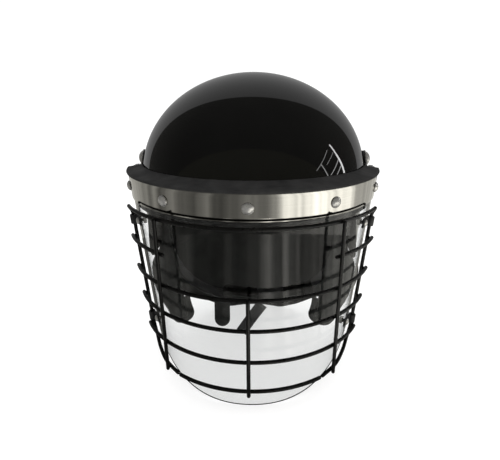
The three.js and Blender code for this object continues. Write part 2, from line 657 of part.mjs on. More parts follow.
// Half of the hanging loop, from the anchor down to the middle.
const LOOP = new THREE.CatmullRomCurve3([
  V(STRAP_X, 0, ANCHOR.z + 9), V(STRAP_X, 0, ANCHOR.z - 12), V(91, 0, -76), V(80.5, 0, -98),
  V(60, 0, -116), V(32, 0, -126), V(0, 0, LOOP_LOW),
]);
const alongY = V(0, 1, 0);
const loopRun = (count, from, to) =>
  steps(count, from, to).map((t) => LOOP.getPoint(t).setY(ANCHOR.y));
const STRAP_SECTION = [[-1, -1], [1, -1], [1, 1], [-1, 1]].map(([a, u]) => [
  (a * STRAP.thickness) / 2,
  (u * STRAP.width) / 2,
]);
const webbing = (points) => sweep(framesAlong(points, () => alongY), STRAP_SECTION);
const anchorHole = pin(2.9, V(STRAP_X, ANCHOR.y, ANCHOR.z), alongX, 4, 8);

function strapRivet() {
  const shellSide = onShell(90, ANCHOR.z).x + 0.2;
  const [low, high] = [-1, 1].map((side) => STRAP_X + side * (STRAP.thickness / 2 + GAP));
  const points = [
    [0, low - 1.2], [5.5, low - 1.2], [5.5, low], [2.6, low], [2.6, high], [5, high],
    [5, high + 1.2], [2.6, high + 1.2], [2.6, shellSide], ...lifted(SNAP_CAP, shellSide),
  ];
  return turned(points, V(0, ANCHOR.y, ANCHOR.z), alongX);
}

// Side-release buckle: the socket is a flat sleeve, and the plug has two springy prongs inside it.
const BUCKLE = { at: 0.75, width: 27, height: 9, slot: STRAP.width + 2 };
const BUCKLE_MIDDLE = LOOP.getPoint(BUCKLE.at).setY(ANCHOR.y);
const BUCKLE_ALONG = LOOP.getTangent(BUCKLE.at).setY(0).normalize();

// A block on the buckle, from one distance along the loop to another.
function block(from, to, width, height, across = 0) {
  const middle = (from + to) / 2;
  const shape = new THREE.BoxGeometry(to - from, width, height).toNonIndexed();
  const turn = new THREE.Matrix4().makeBasis(
    BUCKLE_ALONG, alongY, BUCKLE_ALONG.clone().cross(alongY),
  );
  return shape.translate(middle, across, 0).applyMatrix4(turn.setPosition(BUCKLE_MIDDLE));
}
function buckleSocket() {
  const hollow = block(-13, 9, BUCKLE.width - 5, BUCKLE.height - 4);
  const slot = block(7, 16, BUCKLE.slot, 3.4);
  return without(block(-11, 12.5, BUCKLE.width, BUCKLE.height), [hollow, slot]);
}
function bucklePlug() {
  const slot = block(-25, -16.5, BUCKLE.slot, 5.4);
  const base = without(block(-22, -11.3, BUCKLE.width, BUCKLE.height - 1.5), [slot]);
  const prong = (side) => block(-12, 7, 4.2, BUCKLE.height - 5.2, side * 7.6);
  return joined(base, prong(1), prong(-1), block(-12, 5, 5, BUCKLE.height - 5.2));
}

// The share of the loop at a distance past the buckle's middle.
function shareAt(distance) {
  const pieces = 400;
  const lengths = LOOP.getLengths(pieces);
  const target = lengths[Math.round(BUCKLE.at * pieces)] + distance;
  return lengths.findIndex((length) => length >= target) / pieces;
}
// The right web ends in the plug; the left web passes the middle of the loop and ends in the socket.
const rightRun = loopRun(12, 0, shareAt(-23.4));
const leftRun = [
  ...loopRun(14, 0, 1).map((p) => p.setX(-p.x)),
  ...loopRun(4, shareAt(10.5), 1).reverse().slice(1),
];

// A leather chin pad lies on the loop, with a rounded pull tab and the strap's loose end below it.
const CHIN_PAD_SECTION = [
  [-3, -11], [-1, -13], [1.5, -13], [3, -11], [3, 11], [1.5, 13], [-1, 13], [-3, 11],
];
function chinPad() {
  const points = steps(8, -34, 6).map((x) => V(x, ANCHOR.y, LOOP_LOW + 4.6 + 0.0042 * x * x));
  return sweep(framesAlong(points, () => alongY), CHIN_PAD_SECTION);
}
const TAB_THICKNESS = 1.8;
function hangingTab(outline) {
  const options = { depth: TAB_THICKNESS, bevelEnabled: false, curveSegments: 5 };
  return new THREE.ExtrudeGeometry(outline, options).rotateX(Math.PI / 2);
}
function pullTab(width = 18, length = 38) {
  const half = width / 2;
  const outline = new THREE.Shape().moveTo(-half, 0).lineTo(-half, half - length);
  outline.absarc(0, half - length, half, Math.PI, 2 * Math.PI).lineTo(half, 0);
  return facingOut(hangingTab(outline).translate(-36, ANCHOR.y + 1, LOOP_LOW + 0.8));
}
function looseEnd(width = 13, length = 42) {
  const half = width / 2;
  const outline = new THREE.Shape().moveTo(-half, 0).lineTo(-half, -length).lineTo(half, -length);
  const strip = hangingTab(outline.lineTo(half, 0)).rotateY(rad(34));
  return facingOut(strip.translate(10, ANCHOR.y - 4, LOOP_LOW - 6.5));
}

pair("strap_rivet", strapRivet(), "steel");
add("buckle_socket", buckleSocket(), "buckle");
add("buckle_plug", bucklePlug(), "buckle");
add("strap_web_right", without(webbing(rightRun), [anchorHole]), "webbing");
add("strap_web_left", without(webbing(leftRun), [mirrorX(anchorHole)]), "webbing");
add("chin_pad", chinPad(), "leather");
add("strap_pull_tab", pullTab(), "leather");
add("strap_loose_end", looseEnd(), "webbing");

// ---------------------------------------------------------------- the part's own frame

const bounds = new THREE.Box3().setFromObject(helmet);
const centre = bounds.getCenter(V());
helmet.position.set(-centre.x, -centre.y, -bounds.min.z);
helmet.updateMatrixWorld(true);

export default helmet;
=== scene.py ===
import math
from functools import partial

import bmesh
import bpy
import numpy as np
from mathutils import Matrix, Vector


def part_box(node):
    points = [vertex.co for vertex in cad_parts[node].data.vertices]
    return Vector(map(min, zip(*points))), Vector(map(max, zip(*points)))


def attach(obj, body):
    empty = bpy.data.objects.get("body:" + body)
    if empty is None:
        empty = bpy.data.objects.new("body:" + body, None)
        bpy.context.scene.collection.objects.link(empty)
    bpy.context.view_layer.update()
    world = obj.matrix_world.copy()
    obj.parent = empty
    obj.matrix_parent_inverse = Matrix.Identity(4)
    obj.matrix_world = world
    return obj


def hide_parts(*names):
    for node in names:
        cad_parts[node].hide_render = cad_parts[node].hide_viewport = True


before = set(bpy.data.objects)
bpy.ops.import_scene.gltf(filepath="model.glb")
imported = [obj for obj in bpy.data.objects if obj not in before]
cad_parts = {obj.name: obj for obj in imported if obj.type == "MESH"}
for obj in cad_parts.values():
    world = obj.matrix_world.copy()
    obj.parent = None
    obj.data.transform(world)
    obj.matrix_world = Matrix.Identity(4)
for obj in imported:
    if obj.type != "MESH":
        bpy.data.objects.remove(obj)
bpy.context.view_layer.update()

# A public-order helmet with a hinged clear visor and a welded wire face guard. Shapes are worked out in
# millimetres in the visor's own frame, whose origin is on the axis of the visor's cone, level with the
# steel band's lower edge. Z is up and -Y is the front.

# ---------------------------------------------------------------- driving dimensions, in millimetres

BASE = -184
SHELL = {"width": 116, "length": 134.2, "height": 101.4, "middle": 20, "widest": 18.4, "wall": 4}
SIDE_DRAW, REAR_DRAW = 380, 230
CROWN_SHARE = 0.62
LINER_INSET, LINER_THICKNESS, PAD_THICKNESS = 4.5, 22, 8
VISOR_RADIUS, CONE_TAPER, VISOR_THICKNESS, VISOR_END = 120.6, 0.1205, 3, 94.75
MM_PER_DEGREE = VISOR_RADIUS * math.pi / 180
BAND_HEIGHT, BAND_THICKNESS = 24, 1
GAP = 0.3
BAND_INNER = VISOR_THICKNESS / 2 + GAP
WIRE = 3.5
CROSS_OFFSET = 9.5
SIDE_OFFSET = CROSS_OFFSET - WIRE - GAP
BAR_OFFSET = CROSS_OFFSET + WIRE + GAP
BAR_X = 78.5
TOP, BROW, UPPER, MIDDLE, LOWER, BOTTOM = -3.8, -36.5, -67.8, -97.6, -129.7, -161.2
SIDE_ANGLE, CORNER_ANGLE, FOOT_ANGLE, END_ANGLE = 65, 60, 37, 67.6
PIVOT = (15, 30)
ANCHOR = (8, -42)
ARM_RIVET = (3, 13)
RIVET_STEP = 34.8
STRAP_WIDTH, STRAP_THICKNESS, STRAP_X = 20, 1.6, 93.8

shell_low, shell_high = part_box("shell")
SHIFT = Vector((0, shell_high[1] * 1000 - SHELL["middle"] - SHELL["length"], -BASE))


def place(point):
    """A point of the visor's own frame, in the row frame and metres."""
    return (Vector(point) + SHIFT) / 1000


# ---------------------------------------------------------------- numbers and curves

def rad(degrees):
    return math.radians(degrees)


def lerp(a, b, t):
    return a + (b - a) * t


def share_of(value, start, reach):
    """How far value has come from start towards start + reach, from 0 to 1."""
    return min(max((value - start) / reach, 0), 1)


def steps(count, start=0.0, end=1.0):
    return [lerp(start, end, i / count) for i in range(count + 1)]


def profile(pairs):
    """Reads a list of (position, value) pairs along a smooth curve that never overshoots."""
    x, y = np.array(pairs, float).T
    slopes = np.diff(y) / np.diff(x)
    inner = [0 if a * b <= 0 else 2 * a * b / (a + b) for a, b in zip(slopes, slopes[1:])]
    tangents = [slopes[0], *inner, slopes[-1]]

    def read(at):
        at = min(max(at, x[0]), x[-1])
        i = min(int(np.searchsorted(x, at, side="right")) - 1, len(x) - 2)
        h = x[i + 1] - x[i]
        t = (at - x[i]) / h
        rise = (1 + 2 * t) * (1 - t) ** 2 * y[i] + t * t * (3 - 2 * t) * y[i + 1]
        return rise + h * t * (1 - t) * ((1 - t) * tangents[i] - t * tangents[i + 1])

    return read


def spline(points, count):
    """Points along a smooth curve through the given ones, at even distances."""
    p = [Vector(q) for q in points]
    p = [2 * p[0] - p[1], *p, 2 * p[-1] - p[-2]]
    fine = []
    for a, b, c, d in zip(p, p[1:], p[2:], p[3:]):
        for t in steps(12)[:-1]:
            bend, twist = 2 * a - 5 * b + 4 * c - d, 3 * b - a - 3 * c + d
            fine.append(0.5 * (2 * b + (c - a) * t + bend * t**2 + twist * t**3))
    fine.append(p[-2])
    return even(fine, count)


def distances(path):
    """How far along a path each of its points is."""
    reached = [0.0]
    for a, b in zip(path, path[1:]):
        reached.append(reached[-1] + (b - a).length)
    return reached


def even(path, count):
    lengths = distances(path)
    xyz = np.array([tuple(p) for p in path])
    at = np.linspace(0, lengths[-1], count + 1)
    return [Vector(row) for row in np.stack([np.interp(at, lengths, xyz[:, k]) for k in range(3)], axis=1)]


def heading(path, i):
    return path[min(i + 1, len(path) - 1)] - path[max(i - 1, 0)]


# ---------------------------------------------------------------- surfaces

def cone_radius(z):
    return VISOR_RADIUS + CONE_TAPER * z


def on_cone(angle, z, offset=0.0):
    turn = rad(min(abs(angle), 90))
    back = max(abs(angle) - 90, 0) * MM_PER_DEGREE
    r = cone_radius(z) + offset
    return Vector((math.copysign(r * math.sin(turn), angle), -r * math.cos(turn) + back, z))


def cone_normal(angle):
    turn = rad(max(-90, min(90, angle)))
    return Vector((math.sin(turn), -math.cos(turn), -CONE_TAPER)).normalized()


def on_shell(angle, z, inset=0.0):
    up = z - SHELL["widest"]

    def share(reach):
        return math.sqrt(max(0, 1 - (up / reach) ** 2))

    across = share(SHELL["height"] - inset) if up > 0 else share(SIDE_DRAW)
    along = across if up > 0 else share(REAR_DRAW)
    x = (SHELL["width"] - inset) * across * math.sin(rad(angle))
    return Vector((x, SHELL["middle"] - (SHELL["length"] - inset) * along * math.cos(rad(angle)), z))


def shell_normal(angle, z):
    at = on_shell(angle, z)
    return (on_shell(angle + 0.5, z) - at).cross(on_shell(angle, z + 0.5) - at).normalized()


def dome(angle, share, inset, edge):
    if share > CROWN_SHARE:
        low = lerp(SHELL["widest"], edge(angle), (share - CROWN_SHARE) / (1 - CROWN_SHARE))
        return on_shell(angle, low, inset)
    latitude = math.pi / 2 * (1 - share / CROWN_SHARE)
    return on_shell(angle, SHELL["widest"] + (SHELL["height"] - inset) * math.sin(latitude), inset)


def both_ways(edge):
    return lambda angle: edge(abs((angle + 180) % 360 - 180))


# Heights of edges, and widths, as (degrees from the front, height) or (height, width).
shell_edge = both_ways(profile([
    (0, 6), (44, 6), (51, 3), (56, -12), (60, -36), (65, -55), (73, -65), (92, -69), (140, -71), (180, -72),
]))
liner_edge = both_ways(profile([(0, 14), (50, 12), (75, -14), (110, -20), (140, -40), (180, -46)]))
pad_top = both_ways(profile([(0, 44), (90, 30), (180, 8)]))
pad_bottom = both_ways(profile([(0, 12), (50, 10), (90, -10), (180, -32)]))
guard_bottom = both_ways(profile([(104, -142), (120, -158), (140, -176), (158, BASE), (180, BASE)]))
skirt_width = profile([
    (-184, 82), (-150, 93), (-138, 98), (-128, 102), (-110, 108.5), (-96, 111.5), (-88, 111.5), (-82, 107),
    (-78, 105), (-50, 105),
])
skirt_rear = profile([(-184, 80), (-150, 98), (-120, 110), (-90, 117), (-78, 116), (-50, 116)])
flap_top = profile([
    (31, -97), (37, -78), (44, -58), (50, -36), (54, -18), (58, -12), (66, -38), (72, -52), (101, -52),
])
flap_bottom = profile([
    (31, -109), (34, -119), (40, -128), (48, -135), (56, -139), (64, -140), (74, -138), (86, -132),
    (101, -122),
])
flap_front = profile([(-150, 89), (-143, 90), (-110, 98), (-80, 108), (-52, 112)])
flap_bulge = profile([
    (-150, 0), (-140, 1), (-122, 4), (-104, 6.5), (-86, 7), (-74, 4), (-66, 0), (-50, 0),
])


def on_skirt(angle, z, inset, front=None):
    length = skirt_rear(z) if front is None else front
    x = (skirt_width(z) - inset) * math.sin(rad(angle))
    return Vector((x, SHELL["middle"] - (length - inset) * math.cos(rad(angle)), z))


def on_flap(angle, z, inset):
    """An ear flap hangs out from the head, and runs into the neck guard's surface behind the ear."""
    p = on_skirt(angle, z, inset, lerp(flap_front(z), skirt_rear(z), share_of(angle, 84, 12)))
    p.x += flap_bulge(z) * math.sin(rad(angle)) * share_of(-angle, -101, 8)
    return p


# ---------------------------------------------------------------- meshes

def mesh_object(name, points, faces, uvs=None):
    mesh = bpy.data.meshes.new(name)
    mesh.from_pydata([tuple(place(p)) for p in points], [], faces)
    if uvs is not None:
        layer = mesh.uv_layers.new(name="UVMap")
        for loop in mesh.loops:
            layer.data[loop.index].uv = uvs[loop.vertex_index]
    mesh.validate()
    mesh.polygons.foreach_set("use_smooth", [True] * len(mesh.polygons))
    obj = bpy.data.objects.new(name, mesh)
    bpy.context.scene.collection.objects.link(obj)
    return obj


def join(name, objects):
    """One object from several, so that what is one thing on the bench is one piece here."""
    depsgraph = bpy.context.evaluated_depsgraph_get()
    points, faces, uvs = [], [], []
    for obj in objects:
        mesh = obj.evaluated_get(depsgraph).to_mesh()
        start = len(points)
        points += [v.co * 1000 - SHIFT for v in mesh.vertices]
        faces += [tuple(start + i for i in p.vertices) for p in mesh.polygons]
        uv = {}
        if mesh.uv_layers:
            for loop in mesh.loops:
                uv[loop.vertex_index] = tuple(mesh.uv_layers[0].data[loop.index].uv)
        uvs += [uv.get(i, (0, 0)) for i in range(len(mesh.vertices))]
        bpy.data.objects.remove(obj)
    return mesh_object(name, points, faces, uvs)


def bevel(obj, width, segments=2, angle=35):
    mod = obj.modifiers.new("edges", "BEVEL")
    mod.width = width / 1000
    mod.segments = segments
    mod.limit_method = "ANGLE"
    mod.angle_limit = rad(angle)
    mod.harden_normals = False
    return obj


def quads(rows, columns, round_rows=False, round_columns=False, start=0):
    """The faces between the points of a grid, which can run back to its first row or column."""
    faces = []
    for j in range(rows if round_rows else rows - 1):
        n = (j + 1) % rows
        for i in range(columns if round_columns else columns - 1):
            k = (i + 1) % columns
            corners = (j * columns + i, n * columns + i, n * columns + k, j * columns + k)
            faces.append(tuple(start + c for c in corners))
    return faces


def slab(name, outer, inner, ring=False):
    """A closed sheet between two grids of points, whose rows run round and whose columns run down."""
    rows, columns = len(outer), len(outer[0])
    points = [p for grid in (outer, inner) for row in grid for p in row]
    uvs = [(i / columns, j / rows) for _ in (outer, inner) for j in range(rows) for i in range(columns)]
    half = rows * columns
    faces = quads(rows, columns, False, ring)
    faces += [face[::-1] for face in quads(rows, columns, False, ring, half)]
    last = half - columns
    for i in range(columns if ring else columns - 1):
        k = (i + 1) % columns
        faces += [(i, k, half + k, half + i), (last + k, last + i, half + last + i, half + last + k)]
    if not ring:
        for a in range(0, last, columns):
            b, c, d = a + columns - 1, a + 2 * columns - 1, a + columns
            faces += [(d, a, half + a, half + d), (b, c, half + c, half + b)]
    return mesh_object(name, points, faces, uvs)


def sheet(name, angles, shares, surface, outer, inner, ring=False):
    """A closed sheet between two insets of a surface(angle, share, inset)."""
    grids = [[[surface(a, t, inset) for a in angles] for t in shares] for inset in (outer, inner)]
    return slab(name, *grids, ring)


def loft(name, rings, closed=False):
    """A body through rings of points. A closed one runs back to its first ring."""
    count, sides = len(rings), len(rings[0])
    points = [p for ring in rings for p in ring]
    along = [d / 10 for d in distances([ring[0] for ring in rings])]
    around = [d / 10 for d in distances(rings[0])]
    uvs = [(u, v) for u in along for v in around]
    faces = quads(count, sides, closed, True)
    if not closed:
        faces.append(tuple(range(sides)))
        faces.append(tuple((count - 1) * sides + i for i in reversed(range(sides))))
    return facing_out(mesh_object(name, points, faces, uvs))


def facing_out(obj):
    bm = bmesh.new()
    bm.from_mesh(obj.data)
    bmesh.ops.recalc_face_normals(bm, faces=bm.faces)
    bm.to_mesh(obj.data)
    bm.free()
    return obj


def sweep(name, path, section, up_at, closed=False, size_at=None):
    """Carries a section of (across, up) points along a path. up_at(point, i) points out of its side."""
    rings = []
    for i, at in enumerate(path):
        along = path[(i + 1) % len(path)] - path[i - 1] if closed else heading(path, i)
        across = along.cross(up_at(at, i)).normalized()
        up = across.cross(along).normalized()
        size = size_at(i / (len(path) - 1)) if size_at else 1
        rings.append([at + across * (a * size) + up * (u * size) for a, u in section])
    return loft(name, rings, closed)


def round_section(radius, sides=16):
    turns = [2 * math.pi * i / sides for i in range(sides)]
    return [(radius * math.cos(turn), radius * math.sin(turn)) for turn in turns]


def rounded_section(width, height, corner, fine=4):
    """A rectangle of (across, up) points with rounded corners."""
    points = []
    for sx, sy, start in ((1, 1, 0), (-1, 1, 90), (-1, -1, 180), (1, -1, 270)):
        for t in steps(fine, start, start + 90):
            x = sx * (width / 2 - corner) + corner * math.cos(rad(t))
            points.append((x, sy * (height / 2 - corner) + corner * math.sin(rad(t))))
    return points


def away_from_axis(point, _):
    return Vector((point.x, point.y, 0)).normalized()


def along_y(*_):
    return Vector((0, 1, 0))


def wire(name, path, radius=WIRE / 2):
    """A wire with domed ends."""
    count = 400
    fine = even(path, count)
    ends = [r * radius / distances(path)[-1] for r in (0, 0.12, 0.4, 0.9)]
    middle = steps(len(path) * 3, ends[-1] * 1.3, 1 - ends[-1] * 1.3)
    shares = [*ends, *middle, *[1 - share for share in reversed(ends)]]
    points = [fine[min(int(t * count), count - 1)] for t in shares]
    points = [p.lerp(fine[min(int(t * count) + 1, count)], t * count % 1) for t, p in zip(shares, points)]
    length = distances(points)[-1]
    rings = []
    for t, p in zip(shares, points):
        along = fine[min(int(t * count) + 3, count)] - fine[max(int(t * count) - 3, 0)]
        across = along.cross(away_from_axis(p, 0)).normalized()
        up = across.cross(along).normalized()
        from_end = min(min(t, 1 - t) * length / radius, 1)
        size = math.sqrt(max(0.02, 1 - (1 - from_end) ** 2))
        rings.append([p + across * (a * size) + up * (u * size) for a, u in round_section(radius)])
    return loft(name, rings)


def lathe(name, points, at, out, segments=48):
    """A turned body. points are (radius, height) from axis to axis, with height along out from at."""
    turn = Vector((0, 0, 1)).rotation_difference(Vector(out).normalized())
    grid = []
    for k in range(segments):
        angle = 2 * math.pi * k / segments
        grid += [at + turn @ Vector((r * math.cos(angle), r * math.sin(angle), h)) for r, h in points]
    obj = mesh_object(name, grid, quads(segments, len(points), True, False))
    mod = obj.modifiers.new("weld", "WELD")
    mod.merge_threshold = 1e-6
    return obj


def dome_cap(radius, height, base, edge=0.4, count=8):
    """Profile points of a domed head, from its rim up to the axis."""
    sphere = (radius**2 + height**2) / (2 * height)
    top = []
    for t in steps(count):
        r = (radius - edge * 0.4) * (1 - t)
        rise = math.sqrt(sphere**2 - r**2) - (sphere - height)
        top.append((r, base + edge + rise * (height - edge) / height))
    return [(radius - edge * 0.5, base), (radius, base + edge * 0.5), *top]


# ---------------------------------------------------------------- materials

class Surface:
    """A Principled material whose detail comes from nodes."""

    def __init__(self, name, colour, roughness, metallic=0.0, **more):
        self.material = bpy.data.materials.new(name)
        self.material.use_nodes = True
        self.tree = self.material.node_tree
        self.shader = self.tree.nodes["Principled BSDF"]
        self.shader.inputs["Base Color"].default_value = (*colour, 1)
        self.shader.inputs["Roughness"].default_value = roughness
        self.shader.inputs["Metallic"].default_value = metallic
        for socket, value in more.items():
            self.shader.inputs[socket.replace("_", " ")].default_value = value
        self.coordinates = self.node("ShaderNodeTexCoord")
        self.normal = None

    def node(self, kind, **settings):
        made = self.tree.nodes.new(kind)
        for key, value in settings.items():
            setattr(made, key, value)
        return made

    def link(self, source, target):
        self.tree.links.new(source, target)

    def mixed(self, share, first, second):
        """Uses the mix of two shaders in place of the Principled one."""
        mix = self.node("ShaderNodeMixShader")
        for source, socket in zip((share, first, second), mix.inputs):
            self.link(source, socket)
        self.link(mix.outputs["Shader"], self.tree.nodes["Material Output"].inputs["Surface"])
        return mix.outputs["Shader"]

    def ray(self, kind):
        return self.node("ShaderNodeLightPath").outputs[kind]

    def mapped(self, scale=(1, 1, 1), space="Object", turn=(0, 0, 0)):
        mapping = self.node("ShaderNodeMapping")
        mapping.inputs["Scale"].default_value = scale
        mapping.inputs["Rotation"].default_value = [rad(a) for a in turn]
        self.link(self.coordinates.outputs[space], mapping.inputs["Vector"])
        return mapping.outputs["Vector"]

    def noise(self, scale, detail=4.0, vector=None, rough=0.5):
        noise = self.node("ShaderNodeTexNoise")
        noise.inputs["Scale"].default_value = scale
        noise.inputs["Detail"].default_value = detail
        noise.inputs["Roughness"].default_value = rough
        self.link(vector or self.coordinates.outputs["Object"], noise.inputs["Vector"])
        return noise.outputs["Fac"]

    def cells(self, scale, vector=None, feature="F1"):
        cells = self.node("ShaderNodeTexVoronoi", feature=feature)
        cells.inputs["Scale"].default_value = scale
        self.link(vector or self.coordinates.outputs["Object"], cells.inputs["Vector"])
        return cells.outputs["Distance"]

    def stripes(self, scale, vector, direction="X"):
        wave = self.node("ShaderNodeTexWave", bands_direction=direction)
        wave.inputs["Scale"].default_value = scale
        self.link(vector, wave.inputs["Vector"])
        return wave.outputs["Fac"]

    def maths(self, operation, a, b):
        maths = self.node("ShaderNodeMath", operation=operation)
        for socket, value in zip(maths.inputs, (a, b)):
            if isinstance(value, (int, float)):
                socket.default_value = value
            else:
                self.link(value, socket)
        return maths.outputs[0]

    def ramp(self, fac, low, high, start=0.3, end=0.7):
        """Colours or numbers from low to high as fac goes from start to end."""
        ramp = self.node("ShaderNodeMapRange")
        ramp.inputs["From Min"].default_value = start
        ramp.inputs["From Max"].default_value = end
        ramp.inputs["To Min"].default_value = low
        ramp.inputs["To Max"].default_value = high
        self.link(fac, ramp.inputs["Value"])
        return ramp.outputs["Result"]

    def colours(self, fac, *stops, socket="Base Color"):
        ramp = self.node("ShaderNodeValToRGB")
        elements = ramp.color_ramp.elements
        elements[0].position, elements[0].color = stops[0][0], (*stops[0][1], 1)
        elements[1].position, elements[1].color = stops[-1][0], (*stops[-1][1], 1)
        for position, colour in stops[1:-1]:
            elements.new(position).color = (*colour, 1)
        self.link(fac, ramp.inputs["Fac"])
        self.link(ramp.outputs["Color"], self.shader.inputs[socket])

    def rough(self, fac, low, high, start=0.3, end=0.7):
        self.link(self.ramp(fac, low, high, start, end), self.shader.inputs["Roughness"])

    def bump(self, height, depth, strength=1.0):
        """Raises the surface by height times depth, which is in millimetres."""
        bump = self.node("ShaderNodeBump")
        bump.inputs["Distance"].default_value = depth / 1000
        bump.inputs["Strength"].default_value = strength
        self.link(height, bump.inputs["Height"])
        if self.normal is not None:
            self.link(self.normal, bump.inputs["Normal"])
        self.normal = bump.outputs["Normal"]
        self.link(self.normal, self.shader.inputs["Normal"])


def gloss_black():
    coat = {"Coat_Weight": 1.0, "Coat_Roughness": 0.03, "Specular_IOR_Level": 0.0}
    s = Surface("gloss_black", (0.006, 0.006, 0.007), 0.4, **coat)
    s.colours(s.noise(14, 3), (0.3, (0.0012, 0.0012, 0.0012)), (0.7, (0.0028, 0.0028, 0.0026)))
    s.bump(s.noise(160, 2), 0.012)
    s.bump(s.noise(9, 2), 0.25)
    return s.material


def rubber():
    s = Surface("rubber", (0.016, 0.016, 0.017), 0.7, Specular_IOR_Level=0.35)
    s.colours(s.noise(55, 5, rough=0.7), (0.3, (0.011, 0.011, 0.0115)), (0.75, (0.027, 0.0265, 0.026)))
    s.rough(s.noise(35, 5), 0.55, 0.85)
    s.bump(s.noise(900, 3), 0.05)
    return s.material


def clear_sheet():
    s = Surface("clear_sheet", (0.965, 0.975, 0.972), 0.025, Transmission_Weight=1.0, IOR=1.45)
    s.rough(s.noise(25, 6, rough=0.7), 0.012, 0.06, 0.45, 0.8)
    s.bump(s.noise(7, 1), 0.12)
    # The sawn lower edge is frosted.
    split = s.node("ShaderNodeSeparateXYZ")
    s.link(s.coordinates.outputs["Normal"], split.inputs["Vector"])
    downward = s.maths("SUBTRACT", s.maths("MULTIPLY", split.outputs["Z"], -3.0), 1.0)
    frosted = s.node("ShaderNodeBsdfDiffuse")
    frosted.inputs["Color"].default_value = (0.62, 0.63, 0.63, 1)
    sheet_and_edge = s.mixed(downward, s.shader.outputs["BSDF"], frosted.outputs["BSDF"])
    # Lamps light what is behind the sheet, as they do behind a real one.
    through = s.node("ShaderNodeBsdfTransparent")
    through.inputs["Color"].default_value = (0.86, 0.87, 0.87, 1)
    s.mixed(s.ray("Is Shadow Ray"), sheet_and_edge, through.outputs["BSDF"])
    return s.material


def brushed_steel():
    s = Surface("brushed_steel", (0.62, 0.605, 0.57), 0.1, 1.0)
    lines = s.noise(5, 5, s.mapped((3, 3, 420)), 0.65)
    s.colours(lines, (0.25, (0.58, 0.565, 0.535)), (0.75, (0.66, 0.65, 0.62)))
    smears = s.noise(30, 4)
    both = s.maths("ADD", s.maths("MULTIPLY", lines, 0.5), s.maths("MULTIPLY", smears, 0.5))
    s.rough(both, 0.05, 0.13)
    s.bump(lines, 0.0012)
    s.bump(s.noise(16, 2), 0.04)
    return s.material


def polished_steel():
    s = Surface("polished_steel", (0.66, 0.65, 0.62), 0.33, 0.84)
    s.colours(s.noise(120, 4), (0.3, (0.55, 0.54, 0.515)), (0.7, (0.74, 0.73, 0.71)))
    s.rough(s.noise(450, 5), 0.26, 0.42)
    s.bump(s.noise(700, 3), 0.01)
    return s.material


def coated_wire():
    s = Surface("coated_wire", (0.002, 0.002, 0.002), 0.3, Specular_IOR_Level=0.4)
    s.colours(s.noise(60, 5), (0.35, (0.0012, 0.0012, 0.0013)), (0.75, (0.0045, 0.0044, 0.0042)))
    s.rough(s.noise(300, 4), 0.22, 0.45)
    s.bump(s.noise(1400, 2), 0.03)
    return s.material


def nylon():
    s = Surface("nylon", (0.01, 0.01, 0.011), 0.45)
    s.colours(s.noise(200, 4), (0.3, (0.007, 0.007, 0.0075)), (0.75, (0.018, 0.018, 0.019)))
    s.rough(s.noise(160, 4), 0.35, 0.55)
    s.bump(s.cells(1800), 0.03)
    return s.material


def leather():
    s = Surface("leather", (0.015, 0.016, 0.015), 0.5, Specular_IOR_Level=0.4)
    wear = s.noise(24, 5, rough=0.6)
    s.colours(wear, (0.3, (0.006, 0.0065, 0.0065)), (0.55, (0.015, 0.016, 0.015)), (0.8, (0.034, 0.034, 0.031)))
    grain = s.cells(620, feature="DISTANCE_TO_EDGE")
    s.rough(s.noise(70, 4), 0.42, 0.64)
    s.bump(s.ramp(grain, 0, 1, 0.0, 0.28), 0.13)
    s.bump(s.noise(60, 4), 0.35)
    return s.material


def spacer_mesh():
    s = Surface("spacer_mesh", (0.016, 0.016, 0.017), 0.85, Sheen_Weight=0.06, Sheen_Roughness=0.5)
    holes = s.cells(430)
    # The holes are painted darker towards their middles, where the bump sinks them: painted shade down in the
    # holes.
    s.colours(holes, (0.15, (0.003, 0.003, 0.0035)), (0.42, (0.017, 0.017, 0.018)), (0.8, (0.025, 0.025, 0.026)))
    s.bump(s.ramp(holes, 0, 1, 0.15, 0.5), 0.4)
    s.bump(s.noise(1800, 2), 0.06)
    return s.material


def foam():
    s = Surface("foam", (0.03, 0.03, 0.032), 0.9)
    s.colours(s.noise(120, 5), (0.3, (0.018, 0.018, 0.019)), (0.75, (0.04, 0.04, 0.042)))
    s.bump(s.cells(300), 0.3)
    return s.material


def webbing():
    s = Surface("webbing", (0.013, 0.013, 0.015), 0.75, Sheen_Weight=0.35, Sheen_Roughness=0.45)
    flat = s.mapped((1, 1, 1), "UV")
    ribs = s.stripes(4.2, flat, "X")
    cords = s.stripes(3.0, flat, "Y")
    weave = s.maths("MULTIPLY", ribs, s.maths("ADD", s.maths("MULTIPLY", cords, 0.6), 0.4))
    # The colour darkens where the weave dips between ribs and cords: painted shade in the weave's hollows.
    s.colours(weave, (0.05, (0.004, 0.004, 0.005)), (0.6, (0.018, 0.018, 0.020)), (0.95, (0.032, 0.032, 0.035)))
    s.bump(weave, 0.35)
    return s.material


def thread():
    s = Surface("thread", (0.03, 0.03, 0.032), 0.6, Sheen_Weight=0.4)
    s.bump(s.noise(2500, 2), 0.1)
    return s.material


def floor_paint():
    s = Surface("floor_paint", (0.45, 0.45, 0.45), 0.7, Specular_IOR_Level=0.0, Emission_Strength=0.68)
    s.shader.inputs["Emission Color"].default_value = (1, 1, 1, 1)
    # Reflections see the studio's boards instead of the floor.
    nothing = s.node("ShaderNodeBsdfTransparent").outputs["BSDF"]
    s.mixed(s.ray("Glossy Depth"), s.shader.outputs["BSDF"], nothing)
    return s.material


MATERIALS = {
    "shell": gloss_black(), "rubber": rubber(), "clear": clear_sheet(), "steel": polished_steel(),
    "band": brushed_steel(), "wire": coated_wire(), "nylon": nylon(), "buckle": nylon(),
    "leather": leather(), "mesh": spacer_mesh(), "foam": foam(), "webbing": webbing(), "thread": thread(),
}


def piece(obj, body, material, *nodes, slot=None):
    """Gives a piece its body, its material and the CAD nodes that it stands for. Its finish, slot, is not used.
    """
    obj.data.materials.clear()
    obj.data.materials.append(MATERIALS[material])
    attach(obj, body)
    if nodes:
        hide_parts(*nodes)
    return obj


